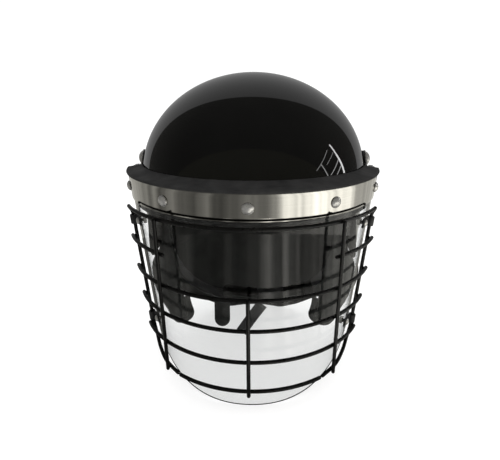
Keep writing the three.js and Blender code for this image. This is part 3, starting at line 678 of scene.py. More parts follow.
def turned(name, points, at, out, body, material, node):
    """A piece turned on a lathe."""
    return piece(facing_out(bake(lathe(name, points, at, out))), body, material, node)


# ---------------------------------------------------------------- soft pieces

def puff(obj, cap, voxel=5, pressure=4.0, frames=20):
    """Fills a soft piece with air in a cloth simulation. No point moves further than cap, in millimetres."""
    scene = bpy.context.scene
    remesh = obj.modifiers.new("remesh", "REMESH")
    remesh.mode = "VOXEL"
    remesh.voxel_size = voxel / 1000
    bake(obj)
    before = [v.co.copy() for v in obj.data.vertices]
    cloth = obj.modifiers.new("cloth", "CLOTH")
    cloth.settings.quality = 5
    cloth.settings.use_pressure = True
    cloth.settings.uniform_pressure_force = pressure
    cloth.settings.effector_weights.gravity = 0
    cloth.point_cache.frame_start = 1
    cloth.point_cache.frame_end = frames
    for frame_number in range(1, frames + 1):
        scene.frame_set(frame_number)
    depsgraph = bpy.context.evaluated_depsgraph_get()
    after = [v.co.copy() for v in obj.evaluated_get(depsgraph).to_mesh().vertices]
    obj.modifiers.remove(cloth)
    scene.frame_set(1)
    for vertex, old, new in zip(obj.data.vertices, before, after):
        move = new - old
        reach = cap / 1000
        vertex.co = old + (move if move.length < reach else move.normalized() * reach)
    smooth = obj.modifiers.new("smooth", "SMOOTH")
    smooth.factor = 0.5
    smooth.iterations = 3
    fine = obj.modifiers.new("fine", "SUBSURF")
    fine.levels = fine.render_levels = 1
    bake(obj)
    return obj


def bake(obj):
    """Applies every modifier of a piece to its mesh."""
    depsgraph = bpy.context.evaluated_depsgraph_get()
    mesh = bpy.data.meshes.new_from_object(obj.evaluated_get(depsgraph))
    obj.modifiers.clear()
    old, obj.data = obj.data, mesh
    bpy.data.meshes.remove(old)
    mesh.polygons.foreach_set("use_smooth", [True] * len(mesh.polygons))
    return obj


def stitches(name, path, up_at, pitch=4.2, length=2.9, radius=0.42):
    """A row of thread stitches that lie along a path."""
    count = max(2, int(distances(path)[-1] / pitch))
    fine = even(path, count * 4)
    sides = 6
    points, faces = [], []
    for i in range(2, count * 4, 4):
        along = heading(fine, i).normalized()
        across = along.cross(up_at(fine[i], i)).normalized()
        up = across.cross(along)
        start = len(points)
        for t, size in ((-1, 0.1), (-0.85, 0.62), (-0.4, 1), (0.4, 1), (0.85, 0.62), (1, 0.1)):
            lift = radius * 0.5 * (1 - t * t)
            middle = fine[i] + along * (t * length / 2)
            points += [middle + across * a + up * (u + lift) for a, u in round_section(radius * size, sides)]
        faces += quads(6, sides, False, True, start)
        faces.append(tuple(start + k for k in range(sides)))
        faces.append(tuple(start + 5 * sides + k for k in reversed(range(sides))))
    return facing_out(mesh_object(name, points, faces))


# ---------------------------------------------------------------- shell and lining

ROUND = steps(120, 0, 360)[:-1]


def shell():
    shares = [*steps(34, 0.004, CROWN_SHARE), *steps(16, CROWN_SHARE, 1)[1:]]
    surface = partial(dome, edge=shell_edge)
    obj = close_crown(sheet("shell_moulding", ROUND, shares, surface, 0, SHELL["wall"], True))
    piece(bevel(obj, 1.2, 3), "helmet", "shell", "shell")


def close_crown(obj):
    """Draws together the small hole that a ring of points leaves at the crown."""
    hole, wall = 0.0014, 0.002
    bm = bmesh.new()
    bm.from_mesh(obj.data)
    middle = place((0, SHELL["middle"], 0)).y
    crown = [v for v in bm.verts if math.hypot(v.co.x, v.co.y - middle) < hole]
    top = max(v.co.z for v in crown)
    for outer in (True, False):
        near = [v for v in crown if v.is_valid and (v.co.z > top - wall) == outer]
        if near:
            bmesh.ops.pointmerge(bm, verts=near, merge_co=sum((v.co for v in near), Vector()) / len(near))
    bmesh.ops.dissolve_degenerate(bm, edges=bm.edges, dist=1e-6)
    bm.to_mesh(obj.data)
    bm.free()
    return facing_out(obj)


def rim_trim():
    """A rubber bead that grips the shell's edge."""
    angles = steps(240, 0, 360)[:-1]
    path = [on_shell(a, shell_edge(a) - 2.2, SHELL["wall"] / 2) for a in angles]
    section = [(a, u * 1.15) for a, u in round_section(2.9, 14)]
    obj = sweep("rim_bead", path, section, lambda p, i: shell_normal(angles[i], p.z), closed=True)
    piece(obj, "helmet", "rubber", "shell_rim_trim")


def impact_liner():
    shares = [*steps(20, 0.004, CROWN_SHARE), *steps(5, CROWN_SHARE, 1)[1:]]
    angles = steps(72, 0, 360)[:-1]
    surface = partial(dome, edge=liner_edge)
    inner = LINER_INSET + LINER_THICKNESS
    obj = close_crown(sheet("foam_liner", angles, shares, surface, LINER_INSET, inner, True))
    piece(bevel(obj, 3, 3), "helmet", "foam", "impact_liner")


PAD_INSET = LINER_INSET + LINER_THICKNESS + 2.6


def headband_pad():
    """A quilted ring that swells between its seams."""
    angles = steps(144, 0, 360)[:-1]
    around, seams = 28, 12
    rings = []
    for a in angles:
        seam = abs(math.sin(rad(a) * seams / 2)) ** 0.35
        thick = PAD_THICKNESS * (0.45 + 0.55 * seam)
        top, bottom = pad_top(a), pad_bottom(a)
        middle, half = (top + bottom) / 2, (top - bottom) / 2
        ring = []
        for i in range(around):
            turn = 2 * math.pi * i / around
            c, s = math.cos(turn), math.sin(turn)
            across = math.copysign(abs(c) ** 0.7, c) * thick / 2
            up = math.copysign(abs(s) ** 0.45, s) * (half - 0.6 * (1 - seam))
            ring.append(on_shell(a, middle + up, PAD_INSET + PAD_THICKNESS - thick / 2 - across * 0.97))
        rings.append(ring)
    obj = loft("quilted_headband", rings, closed=True)
    piece(obj, "helmet", "mesh", "headband_pad")


def crown_pad():
    """A round pad with five petals sewn into it."""
    low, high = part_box("crown_pad")
    radius = (high[0] - low[0]) / 2 * 1000
    inset = PAD_INSET + PAD_THICKNESS / 2
    radial, around = 14, 60
    points = []
    for side in (1, -1):
        for j in range(radial + 1):
            r = radius * j / radial * 0.985
            dip = SHELL["widest"] + (SHELL["height"] - inset) * math.sqrt(1 - (r / (SHELL["width"] - inset)) ** 2)
            half = PAD_THICKNESS / 2 * 0.95 * math.sqrt(max(0, 1 - (r / radius) ** 4))
            for i in range(around):
                a = 2 * math.pi * i / around
                petal = 0.55 + 0.45 * abs(math.sin(a * 2.5)) ** 0.4 if r > 9 else 0.7
                z = dip - 0.6 + side * half * petal
                points.append((r * math.cos(a), r * math.sin(a) + SHELL["middle"], z))
    layer = (radial + 1) * around
    faces = quads(radial + 1, around, False, True)
    faces += [face[::-1] for face in quads(radial + 1, around, False, True, layer)]
    for i in range(radial * around, layer):
        k = i + 1 if i + 1 < layer else radial * around
        faces.append((i, layer + i, layer + k, k))
    obj = mesh_object("petal_crown_pad", points, faces)
    mod = obj.modifiers.new("weld", "WELD")
    mod.merge_threshold = 1e-5
    piece(facing_out(bake(obj)), "helmet", "mesh", "crown_pad")


SKIRT_THICKNESS = 7


def padded_sheet(name, angles, shares, at, inset=1.3):
    """A stuffed leather panel, made a little slim so that it can swell."""
    panel = sheet(name, angles, shares, at, inset, SKIRT_THICKNESS - inset)
    return puff(facing_out(panel), 1.1, 3.2)


def binding(name, put, first, last, bottom, tops, counts, fine):
    """A bound leather edge down one side of a panel, along its lower edge and up the other side."""
    edge = [(first, z) for z in steps(counts[0], tops[0], bottom(first))[:-1]]
    edge += [(a, bottom(a)) for a in steps(counts[1], first, last)]
    edge += [(last, z) for z in steps(counts[2], bottom(last), tops[1])[1:]]
    path = spline([put(a, z + 2.2, SKIRT_THICKNESS / 2) for a, z in edge], fine)
    section = rounded_section(SKIRT_THICKNESS + 0.2, 3.9, 1.75, 5)
    obj = sweep(name, path, section, lambda p, i: heading(path, i).cross(outward(p)))
    piece(obj, "helmet", "leather")


def neck_guard():
    def height(angle, t):
        return lerp(-52.5, guard_bottom(angle) + 1.6, t)

    def at(angle, t, inset):
        crease = sum(0.9 * math.exp(-(((t - seam) / 0.02) ** 2)) for seam in (0.42, 0.7))
        return on_skirt(angle, height(angle, t), inset + (crease if inset < 3 else 0))

    panel = padded_sheet("leather_neck_guard", steps(80, 105.5, 254.5), steps(44), at)
    piece(panel, "helmet", "leather", "neck_guard")
    binding("neck_guard_binding", on_skirt, 104.6, 255.4, guard_bottom, (-60, -60), (12, 60, 12), 150)
    for i, (seam, start) in enumerate(((0.42, 108), (0.7, 110)), 1):
        line = [on_skirt(a, height(a, seam), 0.9) for a in steps(60, start, 360 - start)]
        row = stitches(f"neck_guard_stitches_{i}", line, lambda p, _: outward(p))
        piece(row, "helmet", "thread", slot="leather")


def outward(point):
    """The way out of the lining's walls, level with the ground."""
    y = point.y - SHELL["middle"]
    return Vector((point.x / SHELL["width"] ** 2, y / SHELL["length"] ** 2, 0)).normalized()


def ear_flap(side, sign):
    def put(angle, z, inset):
        p = on_flap(angle, z, inset)
        return Vector((p.x * sign, p.y, p.z))

    def at(angle, t, inset):
        z = lerp(flap_top(angle), flap_bottom(angle) + 1.8, t)
        seamed = inset < 3 and t > 0.12 and 35 < angle < 97.5
        crease = 0.8 * math.exp(-(((angle - 70) / 0.9) ** 2)) if seamed else 0
        return put(angle, z, inset + crease)

    panel = padded_sheet(f"leather_ear_flap_{side}", steps(54, 33, 99.5), steps(32), at)
    piece(panel, "helmet", "leather", f"ear_flap_{side}")
    tops = (flap_top(32.3) - 2, -62)
    binding(f"ear_flap_binding_{side}", put, 32.3, 100.2, flap_bottom, tops, (4, 44, 14), 120)
    for layer, inset, out in (("outer", 0.55, 1), ("inner", SKIRT_THICKNESS - 0.4, -1)):
        border = [put(a, flap_bottom(a) + 7.5, inset) for a in steps(50, 38, 97.5)]
        row = stitches(f"ear_flap_stitches_{layer}_{side}", border, lambda p, _: outward(p) * out)
        piece(row, "helmet", "thread", slot="leather")


SNAP_ANGLES, SNAP_HEIGHT = [116, 158, -158, -116], -60


def neck_snap(i, angle):
    at = on_shell(angle, SNAP_HEIGHT)
    shank = (at - on_skirt(angle, SNAP_HEIGHT, SKIRT_THICKNESS)).length + 1.6
    cap = [(0, -shank - 1.4), (4.2, -shank - 1.4), (4.5, -shank - 1.1), (4.5, -shank), (2, -shank), (2, GAP)]
    cap += dome_cap(5.6, 3.2, GAP, 0.7)
    turned(f"snap_stud_{i}", cap, at, shell_normal(angle, SNAP_HEIGHT), "helmet", "steel", f"neck_snap_{i}")


# ---------------------------------------------------------------- visor, band and seal

# The visor's outline below the hinge: (end angle, height at the end, height in the middle).
VISOR_ROWS = [
    (VISOR_END - 0.6, -4, -9), (84, -7, -28), (75, -11, -40), (69.5, -20, -52), (68, -50, -80),
    (68, -104, -122), (66.6, -126, -142), (63, -142, -158), (57, -154, -171), (50, -163, BASE),
]
ROW_BEND = 2.6


def visor():
    ends = spline([(angle, low, 0) for angle, low, _ in VISOR_ROWS], 70)
    middle = profile([(i, row[2]) for i, row in enumerate(VISOR_ROWS)])
    rows = [(VISOR_END, z, z) for z in (24, 16, 8, 0)]
    rows += [(end.x, end.y, middle(t)) for end, t in zip(ends, steps(70, 0, len(VISOR_ROWS) - 1))]

    def surface(share, row, offset):
        end, low, high = row
        return on_cone(end * share, lerp(high, low, abs(share) ** ROW_BEND), offset)

    half = VISOR_THICKNESS / 2
    obj = facing_out(sheet("clear_visor", steps(110, -1, 1), rows, surface, half, -half))
    piece(bevel(obj, 0.7, 3, 50), "visor", "clear", "visor")


def visor_band():
    angles = [-VISOR_END, *steps(120, -90, 90), VISOR_END]
    heights = steps(6, BAND_HEIGHT, 0)
    obj = sheet("steel_band", angles, heights, on_cone, BAND_INNER + BAND_THICKNESS, BAND_INNER)
    piece(bevel(obj, 0.35, 2), "visor", "band", "visor_band", slot="steel")


SEAL_END = 81


def radius_of_shell(angle, z):
    """Distance from the cone's axis to the shell, level with z."""
    side, front = on_shell(90, z).x, on_shell(0, z).y
    low, high = 60, 160
    for _ in range(40):
        r = (low + high) / 2
        x, y = r * math.sin(rad(angle)), SHELL["middle"] + r * math.cos(rad(angle))
        outside = (x / side) ** 2 + (y / (SHELL["middle"] - front)) ** 2 > 1
        low, high = (low, r) if outside else (r, high)
    return low


def brow_seal():
    """The leg behind the visor, the lip over the band, and the wing that slopes up to the shell."""
    top, thick = BAND_HEIGHT + GAP, 2.2
    leg_outer, leg_inner, leg_bottom = -1.8, -3.9, -5.5

    def to_shell(angle, z):
        return radius_of_shell(angle, z) + 0.5 - cone_radius(z)

    def section(angle):
        aside = (angle / SEAL_END) ** 2
        lip, rise = lerp(5.6, 3.4, aside), lerp(7.4, 4, aside)
        wing, under = to_shell(angle, top + rise), to_shell(angle, top + rise - thick)
        corners = [
            (leg_outer, leg_bottom), (leg_outer, top), (lip, top), (lip + 0.3, top + 0.8),
            (lip - 0.2, top + 1.9),
            (lerp(lip - 0.2, wing, 0.5), lerp(top + 1.9, top + rise, 0.42)), (wing + 0.6, top + rise),
            (wing, top + rise - 0.4), (under, top + rise - thick), (leg_inner, top - 1),
            (leg_inner, leg_bottom),
        ]
        ring = []
        for (a, b), (c, d) in zip(corners, corners[1:] + corners[:1]):
            ring += [on_cone(angle, lerp(b, d, t), lerp(a, c, t)) for t in (0.06, 0.35, 0.65, 0.94)]
        return ring

    obj = loft("rubber_brow_seal", [section(a) for a in steps(150, -SEAL_END, SEAL_END)])
    piece(obj, "visor", "rubber", "brow_seal")


def rivet_shape(outer, inner, rim, foot, thickness):
    """A dome rivet's profile, from its set end behind to its head in front."""
    back = inner - thickness
    set_end = [(0, back), (rim, back), (foot, back + 0.3), (foot, inner)]
    return [*set_end, (1.9, inner), (1.9, outer), *dome_cap(5, 3.1, outer, 0.5)]


def band_rivet(i, angle):
    shape = rivet_shape(BAND_INNER + BAND_THICKNESS + 0.05, -3.9 - 3 * GAP, 3.3, 3.6, 0.8)
    at = on_cone(angle, BAND_HEIGHT / 2)
    turned(f"dome_rivet_{i}", shape, at, cone_normal(angle), "visor", "steel", f"band_rivet_{i}")


# ---------------------------------------------------------------- hinge

ARM_INNER, ARM_THICKNESS, ARM_END = 117.9, 1.4, 9


def hinge_arm(side, sign):
    start, end = Vector(ARM_RIVET), Vector(PIVOT)
    way = math.atan2(end.y - start.y, end.x - start.x)
    outline = []
    for centre, radius, first in ((end, ARM_END, way - math.pi / 2), (start, ARM_END - 1.5, way + math.pi / 2)):
        for turn in steps(20, first, first + math.pi):
            outline.append((centre.x + radius * math.cos(turn), centre.y + radius * math.sin(turn)))
    faces = (ARM_INNER, ARM_INNER + ARM_THICKNESS)
    rings = [[Vector((sign * x, y, z)) for y, z in outline] for x in faces]
    obj = bevel(loft(f"steel_hinge_arm_{side}", rings), 0.35, 2)
    piece(obj, "visor", "steel", f"hinge_arm_{side}")


def collar(inner, outer, low, high, soften=0.0, soft_top=True):
    """The profile of a ring with softened outer edges."""
    top = [(outer, high - soften), (outer - soften, high)] if soft_top else [(outer, high)]
    return [(inner, low), (outer - soften, low), (outer, low + soften), *top, (inner, high), (inner, low)]


def hinge_stack(side, sign):
    at, out = Vector((0, *PIVOT)), Vector((sign, 0, 0))
    low, high = on_shell(90, PIVOT[1]).x + 0.5, ARM_INNER - GAP
    washer = collar(3.3, 8.5, low, high, 0.2)
    turned(f"nylon_washer_{side}", washer, at, out, "helmet", "nylon", f"pivot_washer_{side}")
    seat, nut_low = ARM_INNER + ARM_THICKNESS + 0.15, 105.4
    head = [(r, h) for r, h in dome_cap(7.5, 4.9, seat, 1.0, 12) if r > 2.3]
    socket = [(2.3, head[-1][1]), (2.2, seat + 2.2), (0, seat + 1.9)]
    shank = [(0, nut_low - 1), (2.9, nut_low - 1), (2.9, seat)]
    turned(f"hinge_screw_{side}", [*shank, *head, *socket], at, out, "helmet", "steel", f"pivot_screw_{side}")
    nut = lathe(f"hinge_nut_{side}", collar(3.7, 7, nut_low, nut_low + 3, 0.4, False), at, out, 6)
    piece(facing_out(bake(bevel(nut, 0.2, 2))), "helmet", "steel", f"pivot_nut_{side}")
    outer = on_cone(90, ARM_RIVET[1]).x + BAND_INNER + BAND_THICKNESS + 0.15
    rivet = rivet_shape(outer, ARM_INNER - GAP, 3.2, 3.4, 0.9)
    turned(f"arm_dome_rivet_{side}", rivet, Vector((0, *ARM_RIVET)), out, "visor", "steel", f"arm_rivet_{side}")


# ---------------------------------------------------------------- wire face guard

def cross_wire(name, z, start, end):
    path = [on_cone(a, z, CROSS_OFFSET) for a in steps(80, start, end)]
    piece(wire(f"{name}_rod", path), "visor", "wire", name)


def side_wire(side, sign):
    route = [
        (CORNER_ANGLE + 0.3, TOP, CROSS_OFFSET), (62.6, TOP - 0.8, CROSS_OFFSET - 0.6),
        (64.5, TOP - 4, CROSS_OFFSET - 2), (SIDE_ANGLE, TOP - 10, SIDE_OFFSET),
        *[(SIDE_ANGLE, z, SIDE_OFFSET) for z in (BROW, UPPER, MIDDLE, -128)],
        (64, -134, SIDE_OFFSET), (61, -142, SIDE_OFFSET), (55.5, -149.5, SIDE_OFFSET + 1.6),
        (47.5, -156.5, CROSS_OFFSET - 0.4), (FOOT_ANGLE + 0.3, BOTTOM, CROSS_OFFSET),
    ]
    path = spline([on_cone(sign * a, z, offset) for a, z, offset in route], 200)
    piece(wire(f"guard_side_rod_{side}", path), "visor", "wire", f"guard_side_wire_{side}")


def upright_bar(name, x, start, end):
    heights = steps(60, start, end)
    path = [Vector((x, -math.sqrt((cone_radius(z) + BAR_OFFSET) ** 2 - x * x), z)) for z in heights]
    piece(wire(f"{name}_rod", path), "visor", "wire", name)


def welds():
    """A small fillet of weld metal wherever two wires cross."""
    spots = []
    for x in (-BAR_X, 0, BAR_X):
        for z in (TOP, BROW, UPPER, MIDDLE, LOWER, BOTTOM + 4 if x else BOTTOM):
            if x or z <= UPPER:
                r = cone_radius(z) + (BAR_OFFSET + CROSS_OFFSET) / 2
                spots.append(Vector((x, -math.sqrt(r * r - x * x), z)))
    for side in (-1, 1):
        for angle, z in ((SIDE_ANGLE, BROW), (SIDE_ANGLE, UPPER), (SIDE_ANGLE, MIDDLE), (64.6, LOWER)):
            spots.append(on_cone(side * angle, z, (CROSS_OFFSET + SIDE_OFFSET) / 2))
    half = WIRE / 2
    bead = [(0, -half), (1.2, -0.8 * half), (1.9, -0.3 * half), (2.0, 0)]
    bead += [(r, -h) for r, h in bead[2::-1]]
    beads = [lathe(f"bead_{i}", bead, spot, away_from_axis(spot, 0), 16) for i, spot in enumerate(spots)]
    piece(facing_out(join("guard_weld_beads", beads)), "visor", "wire")


CLIPS = {"upper": (60.5, -18.5), "lower": (60, -122.3)}
CLIP_WIDTH, CLIP_PLATE = 9, 1.4


def guard_clip(row, side, sign):
    """A strip that lies on the visor, wraps round the wire and comes back over itself."""
    angle, z = CLIPS[row]
    seat = on_cone(angle, z, VISOR_THICKNESS / 2 + GAP)
    out = cone_normal(angle)
    up = (Vector((0, 0, 1)) - out * out.z).normalized()
    rearward = up.cross(out)
    to_wire = on_cone(SIDE_ANGLE, z, SIDE_OFFSET) - seat
    wx, wy = to_wire.dot(rearward), to_wire.dot(out)
    radius, flat = WIRE / 2 + GAP + CLIP_PLATE / 2, CLIP_PLATE / 2
    route = [(-4.4, flat), (-1, flat), (wx - radius - 1.6, flat)]
    route += [(wx + radius * math.cos(rad(t)), wy + radius * math.sin(rad(t))) for t in steps(16, 205, -150)]
    path = spline([seat + rearward * a + out * b for a, b in route], 90)
    path = [Vector((sign * p.x, p.y, p.z)) for p in path]
    across = Vector((sign * up.x, up.y, up.z))
    section = rounded_section(CLIP_WIDTH, CLIP_PLATE, 0.4, 2)
    rings = []
    for i, p in enumerate(path):
        normal = heading(path, i).cross(across).normalized()
        rings.append([p + across * a + normal * b for a, b in section])
    piece(loft(f"clip_{row}_{side}", rings), "visor", "nylon", f"guard_clip_{row}_{side}")


def guard_bolt(row, side, sign):
    angle, z = CLIPS[row]
    outer = VISOR_THICKNESS / 2 + GAP + CLIP_PLATE + 0.1
    inner = -VISOR_THICKNESS / 2 - 4 * GAP
    at, out = on_cone(sign * angle, z), cone_normal(sign * angle)
    head = [(r, h) for r, h in dome_cap(3.4, 2.3, outer, 0.6) if r > 1.2]
    recess = [(1.2, head[-1][1]), (0.7, outer + 1.0), (0, outer + 0.9)]
    shank = [(0, inner - 2.4), (1.6, inner - 2.3), (1.6, outer)]
    screw = lathe("screw", [*shank, *head, *recess], at, out, 32)
    nut = lathe("nut", collar(1.7, 3.6, inner - 2.3, inner, 0.4, False), at, out, 6)
    obj = join(f"clip_screw_{row}_{side}", [screw, nut])
    piece(facing_out(obj), "visor", "steel", f"guard_bolt_{row}_{side}")


# ---------------------------------------------------------------- chin strap

# The right half of the loop, from its anchor down to the middle of the chin.
LOOP = spline([(x, ANCHOR[0], z) for x, z in (
    (STRAP_X, ANCHOR[1] + 9), (STRAP_X, ANCHOR[1] - 12), (91, -76), (80.5, -98), (60, -116), (32, -126),
    (0, -129),
)], 200)


def strap(name, path, node):
    section = rounded_section(STRAP_THICKNESS, STRAP_WIDTH, 0.7, 3)
    piece(sweep(name, path, section, along_y), "chin_strap", "webbing", node)
    sewn_box(name, path)


def sewn_box(name, path):
    """Rows of stitches on both faces of the strap, near its top end."""
    top = even(path, 100)[3:22]
    outer = 1 if path[0].x > 0 else -1
    for i, (across, side) in enumerate(((-7.4, 1), (7.4, 1), (-7.4, -1), (7.4, -1)), 1):
        shift = Vector((side * outer * (STRAP_THICKNESS / 2 + 0.1), across, 0))
        out = Vector((side * outer, 0, 0))
        row = stitches(f"{name}_stitches_{i}", [p + shift for p in top], lambda *_: out, 3.0, 2.2, 0.3)
        piece(row, "chin_strap", "thread", slot="webbing")


def buckle_middle():
    low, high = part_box("buckle_socket")
    return (Vector(low) + Vector(high)) / 2 * 1000 - SHIFT


def buckle_share():
    """How far along the loop the buckle's middle is."""
    nearest = min(range(len(LOOP)), key=lambda i: (LOOP[i] - buckle_middle()).length)
    return nearest / (len(LOOP) - 1)


def share_at(distance):
    """The loop's point this far past the buckle's middle."""
    share = BUCKLE_SHARE + distance / distances(LOOP)[-1]
    return int((len(LOOP) - 1) * min(1, max(0, share)))


BUCKLE_SHARE = buckle_share()


def strap_rivet(side, sign):
    shell_side = on_shell(90, ANCHOR[1]).x + 0.2
    low, high = STRAP_X - STRAP_THICKNESS / 2 - GAP, STRAP_X + STRAP_THICKNESS / 2 + GAP
    set_end = [(0, low - 1.2), (5.2, low - 1.2), (5.5, low - 0.9), (5.5, low), (2.6, low)]
    washer = [(2.6, high), (5, high), (5, high + 1.2), (2.6, high + 1.2), (2.6, shell_side)]
    shape = [*set_end, *washer, *dome_cap(5.6, 3.2, shell_side, 0.6)]
    at, out = Vector((0, *ANCHOR)), Vector((sign, 0, 0))
    turned(f"strap_anchor_{side}", shape, at, out, "helmet", "steel", f"strap_rivet_{side}")


BUCKLE = {"width": 27, "height": 9}


def solid_block(name, low, high, corner):
    """A rounded block. low and high are (along, across, up) in millimetres from the buckle's middle."""
    points = [(x, y, z) for x in (low[0], high[0]) for y in (low[1], high[1]) for z in (low[2], high[2])]
    faces = [(0, 1, 3, 2), (4, 6, 7, 5), (0, 4, 5, 1), (2, 3, 7, 6), (0, 2, 6, 4), (1, 5, 7, 3)]
    return bevel(facing_out(mesh_object(name, points, faces)), corner, 4)


def cut(obj, *cutters):
    for i, cutter in enumerate(cutters):
        mod = obj.modifiers.new(f"cut_{i}", "BOOLEAN")
        mod.operation = "DIFFERENCE"
        mod.solver = "EXACT"
        mod.object = bake(cutter)
    bake(obj)
    for cutter in cutters:
        bpy.data.objects.remove(cutter)
    return obj


def buckle():
    """A side-release buckle: a flat sleeve, and a plug with two springy prongs."""
    half, top = BUCKLE["width"] / 2, BUCKLE["height"] / 2
    i = round(BUCKLE_SHARE * (len(LOOP) - 1))
    along = (LOOP[i + 2] - LOOP[i - 2]).normalized()
    origin = buckle_middle() - along * 0.75
    turn = Matrix((along, along_y(), along.cross(along_y()))).transposed()

    def set_down(obj):
        bake(obj)
        for v in obj.data.vertices:
            v.co = place(origin + turn @ (v.co * 1000 - SHIFT))
        return facing_out(obj)

    body = solid_block("buckle_sleeve", (-11, -half, -top), (12.5, half, top), 2.0)
    hollow = solid_block("hollow", (-14, -half + 2.6, -2.5), (9, half - 2.6, 2.5), 0.6)
    slot = solid_block("slot", (7, -11, -1.7), (16, 11, 1.7), 0.3)
    windows = [solid_block("window", (-5, y - 3, -2.6), (5.5, y + 3, 2.6), 1.0) for y in (-half, half)]
    grooves = [solid_block("groove", (x, -7, top - 0.5), (x + 1.2, 7, top + 1), 0.2) for x in (4.5, 7, 9.5)]
    sleeve = set_down(cut(body, hollow, slot, *windows, *grooves))
    piece(sleeve, "chin_strap", "buckle", "buckle_socket")
    base = solid_block("base", (-22, -half, -top + 0.75), (-11.4, half, top - 0.75), 1.6)
    cut(base, solid_block("gap", (-25, -11, -2.6), (-16.5, 11, 2.6), 0.4))
    prongs = [solid_block("prong", (-12.5, y - 1.9, -1.9), (7, y + 1.9, 1.9), 1.0) for y in (-8.4, 8.4)]
    ears = [solid_block("ear", (-4, y - 1.4, -1.9), (4.6, y + 1.4, 1.9), 1.2) for y in (-10.4, 10.4)]
    tongue = solid_block("tongue", (-12.5, -2.5, -1.9), (5, 2.5, 1.9), 0.8)
    plug = set_down(join("buckle_prongs", [base, *prongs, *ears, tongue]))
    piece(plug, "chin_strap", "buckle", "buckle_plug")


def chin_pad():
    """A stuffed leather pad that lies on the loop, sewn along its edges."""
    path = [Vector((x, ANCHOR[0], -129 + 0.0042 * x * x + 4.6)) for x in steps(50, -34, 6)]

    def size(t):
        return max(0.35, 1 - (2 * t - 1) ** 8 * 0.5)

    obj = sweep("leather_chin_pad", path, rounded_section(5.6, 25.5, 2.7, 6), along_y, size_at=size)
    piece(bake(obj), "chin_strap", "leather", "chin_pad")
    for i, y in enumerate((-9.5, 9.5), 1):
        line = [p + Vector((0, y, 2.75)) for p in path[4:-4]]
        row = stitches(f"chin_pad_stitches_{i}", line, lambda *_: Vector((0, 0, 1)))
        piece(row, "chin_strap", "thread", slot="leather")


def hanging_tab(name, width, length, rounded, thickness, put):
    """A flat strip that hangs down, with a round or a square lower end."""
    half = width / 2
    section = rounded_section(width, thickness, thickness * 0.45, 4)
    rings = []
    for t in steps(60):
        left = length * (1 - t)
        reach = half
        if rounded and left < half:
            reach = math.sqrt(max(0.04, half**2 - (half - left) ** 2))
        lean = 1.2 * math.sin(math.pi * t)
        rings.append([put(Vector((a / half * reach, b + lean, -length * t))) for a, b in section])
    return loft(name, rings)


def strap_ends():
    """The rounded pull tab, and the loose end of the webbing, which hangs askew."""
    hang = Vector((-36, ANCHOR[0] + 0.1, -128.2))
    tab = hanging_tab("rounded_pull_tab", 18, 38, True, 1.8, lambda p: p + hang)
    piece(tab, "chin_strap", "leather", "strap_pull_tab")
    lean = Matrix.Rotation(rad(34), 3, "Y")
    start = Vector((10, ANCHOR[0] - 4.9, -135.5))
    end = hanging_tab("square_loose_end", 13, 42, False, 1.7, lambda p: lean @ p + start)
    piece(end, "chin_strap", "webbing", "strap_loose_end")


# ---------------------------------------------------------------- the helmet

shell()
rim_trim()
impact_liner()
headband_pad()
crown_pad()
neck_guard()
for number, turn in enumerate(SNAP_ANGLES, 1):
    neck_snap(number, turn)
visor()
visor_band()
brow_seal()
for number, turn in enumerate(steps(4, -2 * RIVET_STEP, 2 * RIVET_STEP), 1):
    band_rivet(number, turn)
for name, z, end in (
    ("top", TOP, CORNER_ANGLE), ("upper", UPPER, END_ANGLE), ("middle", MIDDLE, END_ANGLE),
    ("lower", LOWER, END_ANGLE - 2.5), ("bottom", BOTTOM, FOOT_ANGLE),
):
    cross_wire(f"guard_{name}_wire", z, -end, end)
upright_bar("guard_centre_bar", 0, UPPER + 2, BOTTOM - 3.5)
welds()
for side, sign in (("right", 1), ("left", -1)):
    ear_flap(side, sign)
    hinge_arm(side, sign)
    hinge_stack(side, sign)
    cross_wire(f"guard_brow_wire_{side}", BROW, sign * 35.5, sign * END_ANGLE)
    side_wire(side, sign)
    upright_bar(f"guard_side_bar_{side}", sign * BAR_X, TOP + 2, BOTTOM + 1)
    for row in CLIPS:
        guard_clip(row, side, sign)
        guard_bolt(row, side, sign)
    strap_rivet(side, sign)
strap("right_webbing", LOOP[: share_at(-23.4) + 1], "strap_web_right")
mirrored = [Vector((-p.x, p.y, p.z)) for p in LOOP]
strap("left_webbing", even([*mirrored, *reversed(LOOP[share_at(10.5) : -1])], 200), "strap_web_left")
buckle()
chin_pad()
strap_ends()


# ---------------------------------------------------------------- studio

def emitter(obj, strength, colour=(1, 1, 1)):
    """Makes a board glow, and hides it from everything but reflections."""
    glow = {"Specular_IOR_Level": 0, "Emission_Color": (*colour, 1), "Emission_Strength": strength}
    s = Surface(obj.name, (0, 0, 0), 1.0, **glow)
    nothing = s.node("ShaderNodeBsdfTransparent").outputs["BSDF"]
    s.mixed(s.ray("Glossy Depth"), nothing, s.shader.outputs["BSDF"])
    obj.data.materials.append(s.material)
    for ray in ("camera", "diffuse", "shadow", "transmission", "volume_scatter"):
        setattr(obj, f"visible_{ray}", False)
    return s


def board(name, corners, faces=None):
    mesh = bpy.data.meshes.new(name)
    mesh.from_pydata(corners, [], faces or [tuple(range(len(corners)))])
    obj = bpy.data.objects.new(name, mesh)
    bpy.context.scene.collection.objects.link(obj)
    return obj


def pale_wall():
    """The arched pale wall behind the helmet, which shows along the rim of the dome."""
    y, middle, half, height = 0.8, -0.05, 1.05, 2.3
    corners = [(middle - half, y, 0)]
    for t in steps(32, 180, 0):
        corners.append((middle + half * math.cos(rad(t)), y, 0.5 + (height - 0.5) * math.sin(rad(t)) ** 0.8))
    corners.append((middle + half, y, 0))
    emitter(board("pale_wall", corners), 0.36)


